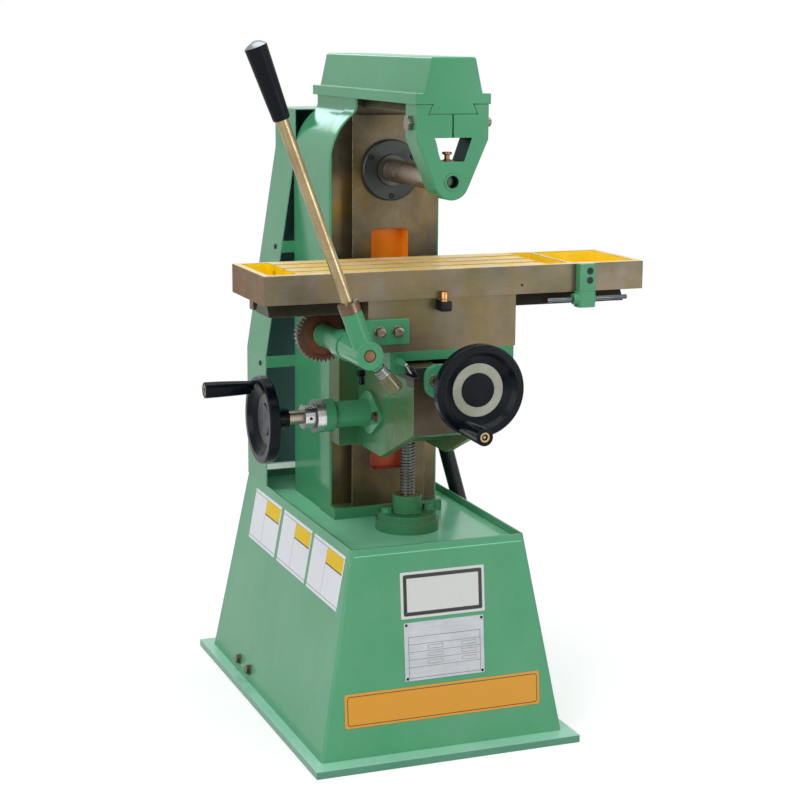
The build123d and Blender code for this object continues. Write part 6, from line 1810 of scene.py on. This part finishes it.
@dataclass
class KneeLock:
    """Small black lock lever on the knee's left side, which hangs from a boss."""

    boss: Vec = (-72.0, -118.0, 674.0)
    boss_r: float = 6.5
    boss_length: float = 12.0
    arm_r: float = 3.4
    swell_r: float = 5.2
    arm_length: float = 22.0

    def build(self, bench: Bench, material: bpy.types.Material) -> None:
        """Boss and arm, each a turned profile.

        Args:
            bench: Where the piece goes.
            material: Its finish.
        """
        reach, end = self.boss_length, self.arm_length
        drum = [(self.boss_r, 0.0), (self.boss_r, reach - 1.0), (self.boss_r - 1.0, reach)]
        boss = lathe(drum, 32).moved(self.boss, LEFT)
        shank = [(self.arm_r, 0.0), (self.arm_r, 8.0), (4.2, 12.0), (self.swell_r, end - 4.0)]
        tip = [(self.swell_r - 0.2, end - 1.5), (3.6, end - 0.3), (0.2, end)]
        start = (self.boss[0] - reach / 2, self.boss[1], self.boss[2])
        arm = lathe(shank + tip, 32).moved(start, (0.0, 0.0, -1.0))
        bench.add("knee_lock_lever", join([boss, arm]), material, "knee", Slot.DARK)


@dataclass
class SaddleLock:
    """Small bright lever that locks the saddle: it hangs from a painted cone, beside the cross ways."""

    cone: Vec = (-84.6, -326.0, 733.0)
    cone_out: Vec = (0.119, -0.987, -0.106)
    cone_r: float = 8.0
    cone_length: float = 29.4
    neck_r: float = 3.0
    knuckle_r: float = 3.4
    knuckle_reach: float = 29.9
    hang: Vec = (0.557, 0.0, -0.83)
    arm_r: float = 2.6
    arm_length: float = 20.0

    def arm(self) -> Shell:
        """Round knuckle and the arm that hangs from it, as turned profiles about the arm's axis.

        Returns:
            Both as one shell, about the knuckle's centre.
        """
        bend = np.linspace(0.0, math.pi, 13)[1:-1]
        ball = np.stack([self.knuckle_r * np.sin(bend), -self.knuckle_r * np.cos(bend)], axis=-1)
        radius, end = self.arm_r, self.arm_length
        shank = [(radius - 0.4, 0.0), (radius - 0.4, 6.0), (radius, 9.0), (radius, end - 2.6)]
        tip = [(radius - 0.6, end - 0.9), (radius - 1.6, end - 0.2), (0.2, end)]
        return join([lathe(ball, 32), lathe(shank + tip, 32)])

    def build(self, bench: Bench, shop: Paintshop) -> None:
        """Painted cone with a knuckle and a steel arm at its end.

        Args:
            bench: Where the pieces go.
            shop: Where their finishes are mixed.
        """
        painted = shop.mix("lock_cone_green", GREEN, rounding=0.6, wear=0.45)
        bright = Turned(tint(150, 152, 148), axis=self.hang, dull=1.2)
        steel = shop.mix("lock_lever_steel", bright, rounding=0.3)
        neck, length = self.neck_r, self.cone_length
        foot = [(self.cone_r, 0.0), (self.cone_r, 3.0), (neck, length - 3.0)]
        end = [(neck, length - 0.6), (neck - 0.6, length), (0.2, length)]
        cone = lathe(foot + end, 40).moved(self.cone, self.cone_out)
        bench.add("saddle_lock_cone", cone, painted, "saddle", Slot.DARK)
        tip = np.array(self.cone) + self.knuckle_reach * np.array(self.cone_out)
        bench.add("saddle_lock_arm", self.arm().moved(tip, self.hang), steel, "saddle", Slot.STEEL)


@dataclass
class OilCup:
    """Brass oil cup with a wide lid, which stands in the arbor support's window above the bush."""

    seat: Vec = (0.0, -334.5, 1081.5)
    foot_r: float = 6.0
    foot_height: float = 2.2
    stem_r: float = 4.6
    lid_r: float = 8.6
    lid_height: float = 4.4
    height: float = 15.6

    def build(self, bench: Bench, shop: Paintshop) -> None:
        """A foot, a stem and a lid with broken edges, as one turned profile.

        Args:
            bench: Where the piece goes.
            shop: Where its finish is mixed.
        """
        dull_brass = Turned(tint(176, 134, 84), stain=tint(92, 62, 36), spread=0.8, dull=1.3)
        brass = shop.mix("oil_cup_brass", dull_brass, rounding=0.3)
        foot, stem, lid = self.foot_r, self.stem_r, self.lid_r
        step, top = self.foot_height, self.height
        under = top - self.lid_height
        stand = [(foot, 0.0), (foot, step), (stem, step + 1.0), (stem, under - 1.4)]
        cap = [(lid - 0.6, under), (lid, under + 0.6), (lid, top - 1.2), (lid - 1.0, top - 0.3), (0.2, top)]
        shell = lathe(stand + cap).moved(self.seat, UP)
        bench.add("support_oil_cup", shell, brass, "support", Slot.STEEL)


@dataclass
class StopDog:
    """Black stop block on the saddle's front, with a brass pin that stands before the table's edge."""

    centre: Vec = (-4.0, -326.0, 828.5)
    half: Flat = (10.5, 9.0)
    corner: float = 3.0
    reach: float = 25.6
    edge: float = 2.0
    pin: Vec = (-6.0, -344.2, 837.3)
    pin_r: float = 7.0
    pin_height: float = 17.4
    groove: float = 1.0

    def block(self) -> Shell:
        """A rounded outline carried forwards; its last rings draw in along a quarter circle.

        Returns:
            The shell, in the machine's axes.
        """
        bend = np.linspace(0.0, TURN / 4, 6)
        inset = np.concatenate([[0.0], self.edge * (1 - np.cos(bend))])
        ahead = np.concatenate([[0.0], self.reach - self.edge + self.edge * np.sin(bend)])
        outline = rounded_outline(self.half, self.corner)
        share = 1 - inset[:, None, None] / np.array(self.half)
        rings = np.empty((len(ahead), len(outline), 3))
        rings[..., :2] = outline[None] * share
        rings[..., 2] = ahead[:, None]
        return skin(rings).moved(self.centre, FRONT)

    def build(self, bench: Bench, shop: Paintshop) -> None:
        """The block in place of its CAD solid, and the pin, a turned profile with a groove and a dome.

        Args:
            bench: Where the pieces go.
            shop: Where their finishes are mixed.
        """
        black = shop.mix("dog_black", Moulded(tint(9, 12, 14), gloss=0.35, specular=0.16))
        copper = Turned(tint(196, 142, 88), stain=tint(110, 66, 36), spread=0.7)
        bench.add("stop_dog_block", self.block(), black, "saddle", Slot.DARK, ["stop_dog"])
        radius, sunk, top = self.pin_r, self.pin_r - self.groove, self.pin_height
        foot = [(radius, 0.0), (radius, 2.2), (sunk, 2.8), (sunk, 4.2), (radius, 4.8)]
        dome = [(radius, top - 2.6), (radius - 1.0, top - 0.9), (radius - 3.2, top - 0.2), (0.2, top)]
        pin = lathe(foot + dome).moved(self.pin, UP)
        bench.add("stop_dog_pin", pin, shop.mix("dog_brass", copper, rounding=0.3), "saddle", Slot.BRASS)


@dataclass
class DialScrew:
    """Grub screw that holds the knee crank's dial on its shaft."""

    head: Vec = (3.0, 0.7, 3.2)
    place: Vec = (-197.5, -182.2, 608.0)

    def build(self, bench: Bench, material: bpy.types.Material) -> None:
        """A low socket head, almost flush with the dial."""
        shell = socket_screw(*self.head).moved(self.place, FRONT)
        bench.add("crank_dial_screw", shell, material, "crank", Slot.DARK)


@dataclass
class Plates:
    """Blank plates and stickers on the pedestal's sloping walls."""

    shop: Paintshop
    foot_z: float = 14.0
    front_foot_y: float = -356.0
    front_lean: float = math.atan2(38.0, 379.0)
    left_foot_x: float = -238.0
    left_lean: float = math.atan2(69.0, 379.0)
    framed_half: Flat = (82.5, 43.0)
    framed_place: Flat = (4.8, 300.6)
    data_half: Flat = (78.5, 54.0)
    data_place: Flat = (5.5, 197.0)
    rivet_half: Flat = (74.0, 49.5)
    strip_half: Flat = (192.5, 31.5)
    strip_place: Flat = (1.4, 101.6)
    sticker_half: Flat = (85.5, 51.5)
    sticker_z: float = 325.5
    sticker_places: Vec = (160.5, -27.3, -212.2)

    def on_front(self, x: float, z: float) -> Axes:
        """Axes on the front wall at a place and height."""
        y = self.front_foot_y + (z - self.foot_z) * math.tan(self.front_lean)
        return Axes((x, y, z), (0.0, -math.cos(self.front_lean), math.sin(self.front_lean)))

    def on_left(self, y: float, z: float) -> Axes:
        """Axes on the left wall at a place and height."""
        x = self.left_foot_x + (z - self.foot_z) * math.tan(self.left_lean)
        return Axes((x, y, z), (-math.cos(self.left_lean), 0.0, math.sin(self.left_lean)))

    def film(self, name: str, base: Finish, layers: Sequence[Layer]) -> bpy.types.Material:
        """A printed finish that reads the plate's own flat places."""
        return self.shop.mix(name, base, layers, rounding=0.3, flat=True)

    def framed(self, bench: Bench) -> None:
        """White plate with a broad black frame.

        Args:
            bench: Where the piece goes.
        """
        frame_line = Print(half=(74.0, 34.5), line=7.0)
        white, black = Moulded(tint(206, 209, 205), gloss=0.35), Moulded(tint(20, 20, 22), gloss=0.3)
        material = self.film("plate_white_framed", white, [(frame_line, black)])
        shell = plate(self.framed_half, corner=1.5, thick=0.8).on(self.on_front(*self.framed_place))
        bench.add("front_plate_framed", shell, material, "frame")

    def data_plate(self, bench: Bench, rivet: bpy.types.Material) -> None:
        """Silver plate with ruled blank fields and a rivet in each corner.

        Args:
            bench: Where the pieces go.
            rivet: Finish of the rivets.
        """
        brushed = (20.0, 700.0, 700.0)
        silver = Machined(tint(184, 187, 192), stain=tint(166, 169, 174), grain=brushed, metallic=0.4)
        ink = Moulded(tint(92, 94, 100), gloss=0.4)
        fields = [Print(half=(70.5, 38.0), centre=(0.0, -11.0))]
        fields += [Print((70.5, 0.1), (0.0, y), line=0.6) for y in (13.0, -1.0, -15.0, -29.0)]
        fields += [Print((14.0, 3.0), (x, y), line=0.7) for x in (-18.0, 48.0) for y in (6.0, -8.0, -22.0)]
        material = self.film("plate_silver_ruled", silver, [(lines, ink) for lines in fields])
        seat = self.on_front(*self.data_place)
        shell = plate(self.data_half, corner=1.0, thick=0.9).on(seat)
        bench.add("front_plate_data", shell, material, "frame", Slot.ALUMINIUM)
        dome = lathe([(2.6, 0.0), (2.6, 0.5), (2.1, 1.1), (1.2, 1.5), (0.1, 1.6)], 20)
        across, up = self.rivet_half
        corners = [np.array([x, y, 0.8]) for x in (-across, across) for y in (-up, up)]
        rivets = [Shell(dome.points + corner, dome.faces).on(seat) for corner in corners]
        bench.add("front_plate_rivets", join(rivets), rivet, "frame", Slot.DARK)

    def strip(self, bench: Bench) -> None:
        """Amber strip with a thin dark frame.

        Args:
            bench: Where the piece goes.
        """
        frame_line = Print(half=(187.0, 26.5), corner=5.0, line=1.5)
        amber, ink = Moulded(tint(212, 146, 28), gloss=0.36), Moulded(tint(66, 48, 24), gloss=0.4)
        material = self.film("strip_amber_framed", amber, [(frame_line, ink)])
        shell = plate(self.strip_half, corner=4.0, thick=0.8).on(self.on_front(*self.strip_place))
        bench.add("front_strip", shell, material, "frame")

    def stickers(self, bench: Bench) -> None:
        """Three white stickers with a thin frame and a plain amber block.

        Args:
            bench: Where the pieces go.
        """
        white = Moulded(tint(228, 230, 236), gloss=0.5, specular=0.2)
        grey = Moulded(tint(116, 120, 128), gloss=0.5)
        amber, dark = Moulded(tint(233, 193, 26), gloss=0.5), Moulded(tint(54, 46, 30), gloss=0.5)
        block = (-6.0, 82.0)
        layers = [
            (Print(half=(90.0, 45.0), line=1.2), grey),
            (Zone(x=block, y=(17.0, 45.0), ragged=0.0), amber),
            (Zone(x=block, y=(14.5, 17.0), ragged=0.0), dark),
            (Zone(x=(-7.0, -6.0), y=each_side(45.0), ragged=0.0), grey),
        ]
        material = self.film("sticker_white_amber", white, layers)
        for number, y in enumerate(self.sticker_places, start=1):
            shell = plate(self.sticker_half, corner=1.5, thick=0.5).on(self.on_left(y, self.sticker_z))
            bench.add(f"left_sticker_{number}", shell, material, "frame")

    def build(self, bench: Bench, rivet: bpy.types.Material) -> None:
        """Put every plate in its place.

        Args:
            bench: Where the pieces go.
            rivet: Finish of the rivets.
        """
        self.framed(bench)
        self.data_plate(bench, rivet)
        self.strip(bench)
        self.stickers(bench)


# Studio


@dataclass(frozen=True)
class Lamp:
    """A square area lamp that faces a point: the length of its sides in metres, its power in watts."""

    name: str
    place: Vec
    size: float
    power: float
    aim: Vec = (0.0, -0.05, 0.65)
    colour: Vec = (1.0, 1.0, 1.0)


KEY = Lamp("key", (-3.7, -2.65, 1.9), size=3.6, power=101.0)
FILL = Lamp("fill", (2.6, -4.0, 1.0), size=2.0, power=45.0)
TOP = Lamp("top", (0.0, -0.5, 4.4), size=4.4, power=152.0)
PALE_BLUE: Vec = (0.75, 0.93, 1.0)
WINDOW = Lamp("window", (-0.45, 3.5, 2.5), size=1.0, power=14.0, aim=(0.0, 0.0, 1.0), colour=PALE_BLUE)


@dataclass
class Studio:
    """Camera at the photograph's viewing angle, soft lamps, pale floor and white surround, in metres."""

    eye: Vec = (-1.24984, -3.31647, 1.30030)
    right: Vec = (0.93183, -0.36282, 0.00684)
    up: Vec = (0.06448, 0.18409, 0.98079)
    ahead: Vec = (0.35711, 0.91349, -0.19494)
    lens: float = 83.39
    sensor: float = 36.0
    view_end: float = 60.0
    lamps: tuple[Lamp, ...] = (KEY, FILL, TOP, WINDOW)
    floor_half: float = 9.0
    floor_near: float = 0.8
    floor_far: float = 2.4
    floor_tone: float = 0.8
    floor_glow: float = 0.36
    floor_bounce: float = 0.66
    sky: float = 0.28

    @staticmethod
    def stand(thing: bpy.types.Object, place: Vec, axes: np.ndarray) -> None:
        """Put a camera or a lamp in the scene, which looks against its own Z.

        Args:
            thing: The camera or lamp.
            place: Where it stands.
            axes: Its own X, Y and Z directions, one to a row.
        """
        turn = np.eye(4)
        turn[:3, :3] = axes.T
        turn[:3, 3] = place
        thing.matrix_world = Matrix(turn.tolist())
        bpy.context.scene.collection.objects.link(thing)

    def camera(self) -> None:
        """Set up the camera from its place and axes."""
        data = bpy.data.cameras.new("camera")
        data.lens = self.lens
        data.sensor_width = self.sensor
        data.clip_end = self.view_end
        camera = bpy.data.objects.new("camera", data)
        self.stand(camera, self.eye, np.array([self.right, self.up, -np.array(self.ahead)]))
        bpy.context.scene.camera = camera

    @staticmethod
    def seen(sheet: Sheet) -> Socket:
        """Share of rays that come straight from the eye, from a reflection or through glass.

        Args:
            sheet: Nodes of a material or a world.

        Returns:
            1 for those rays and 0 for the rest.
        """
        path = sheet.node("LightPath").outputs
        share = sheet.maths("MAXIMUM", path["Is Camera Ray"], path["Is Glossy Ray"])
        return sheet.maths("MAXIMUM", share, path["Is Transmission Ray"])

    def surround(self) -> None:
        """White to the eye and to reflections, and a plain soft light to everything else."""
        world = bpy.data.worlds.new("surround")
        sheet = Sheet.clean(world)
        soft = sheet.node("Background", {"Color": WHITE, "Strength": self.sky}).outputs[0]
        white = sheet.node("Background", {"Color": WHITE, "Strength": 1.0}).outputs[0]
        both = sheet.node("MixShader", {"Fac": self.seen(sheet), 1: soft, 2: white})
        sheet.node("OutputWorld", {"Surface": both.outputs[0]})
        bpy.context.scene.world = world

    def shine(self, lamp: Lamp) -> None:
        """Set up an area lamp.

        Args:
            lamp: Its sizes and its light.
        """
        data = bpy.data.lights.new(lamp.name, "AREA")
        data.size = lamp.size
        data.energy = lamp.power
        data.color = lamp.colour
        back = np.array(lamp.place) - np.array(lamp.aim)
        back = back / np.linalg.norm(back)
        side = np.cross(UP, back)
        side = side / np.linalg.norm(side)
        axes = np.array([side, np.cross(back, side), back])
        self.stand(bpy.data.objects.new(lamp.name, data), lamp.place, axes)

    def floor_material(self) -> bpy.types.Material:
        """Pale near the machine, where it keeps the shadow, and white further off.

        Returns:
            The material.
        """
        material = bpy.data.materials.new("floor_pale")
        sheet = Sheet.clean(material)
        place = sheet.node("TexCoord").outputs["Object"]
        cloud = sheet.remap(sheet.noise(place, scale=6, detail=3), (0.3, 0.7), (0.985, 1.0))
        pale, plain = ((tone, tone, tone, 1.0) for tone in (self.floor_tone, self.floor_bounce))
        matt = sheet.node("BsdfDiffuse", {"Color": sheet.shade(pale, cloud)}).outputs[0]
        glow = sheet.node("Emission", {"Color": WHITE, "Strength": self.floor_glow}).outputs[0]
        near = sheet.node("AddShader", {0: matt, 1: glow}).outputs[0]
        white = sheet.node("Emission", {"Color": WHITE, "Strength": 1.0}).outputs[0]
        far = sheet.remap(sheet.vector("LENGTH", place), (self.floor_near, self.floor_far))
        shown = sheet.node("MixShader", {"Fac": far, 1: near, 2: white}).outputs[0]
        bounce = sheet.node("BsdfDiffuse", {"Color": plain}).outputs[0]
        both = sheet.node("MixShader", {"Fac": self.seen(sheet), 1: bounce, 2: shown})
        sheet.node("OutputMaterial", {"Surface": both.outputs[0]})
        return material

    def floor(self) -> None:
        """A square floor under the machine, which isn't part of it."""
        half = self.floor_half
        mesh = bpy.data.meshes.new("floor")
        corners = np.array([[-half, -half, 0], [half, -half, 0], [half, half, 0], [-half, half, 0]])
        mesh.from_pydata(corners, [], [[0, 1, 2, 3]])
        mesh.materials.append(self.floor_material())
        floor = bpy.data.objects.new("floor", mesh)
        bpy.context.scene.collection.objects.link(floor)

    def build(self) -> None:
        """Set up the whole studio."""
        bpy.context.scene.view_settings.view_transform = "Standard"
        self.camera()
        self.surround()
        for lamp in self.lamps:
            self.shine(lamp)
        self.floor()


def main() -> None:
    """Dress the CAD nodes, add the new pieces and set up the studio."""
    logging.basicConfig(level=logging.INFO, format="%(name)s: %(message)s")
    shop = Paintshop()
    bench = Bench()
    wardrobe = Wardrobe(shop)
    for part in (Pedestal, Column, Overarm, Spindle, Knee, Handwheels, Table, LeverFeed):
        part().dress(wardrobe)
    wardrobe.dress(frame["nodes"])
    brass = shop.mix("brass_screws", BRASS)
    black = shop.mix("screws_blackened", BLACKENED)
    ring = shop.mix("wheel_ring_polished", RING_BRIGHT)
    shaded_ring = shop.mix("wheel_ring_shaded", RING_SHADED)
    ElevatingScrew().build(bench, shop)
    Bolts().build(bench, shop)
    knee = Wheel("knee_wheel", "crank", (-293.0, -160.0, 608.0), LEFT, (-293.0, -118.75, 660.80))
    cross = Wheel("cross_wheel", "cross", (0.0, -498.0, 703.5), FRONT, (-30.94, -498.0, 644.07))
    # The knee wheel's ring and rivet take the painted-shade copy of the ring.
    knee.build(bench, shaded_ring, brass)
    cross.build(bench, ring, brass)
    Screws().build(bench, black)
    KneeLock().build(bench, black)
    SaddleLock().build(bench, shop)
    OilCup().build(bench, shop)
    StopDog().build(bench, shop)
    DialScrew().build(bench, black)
    Plates(shop).build(bench, black)
    Studio().build()
    log.info("%d new pieces", bench.count)


if __name__ == "__main__":
    main()
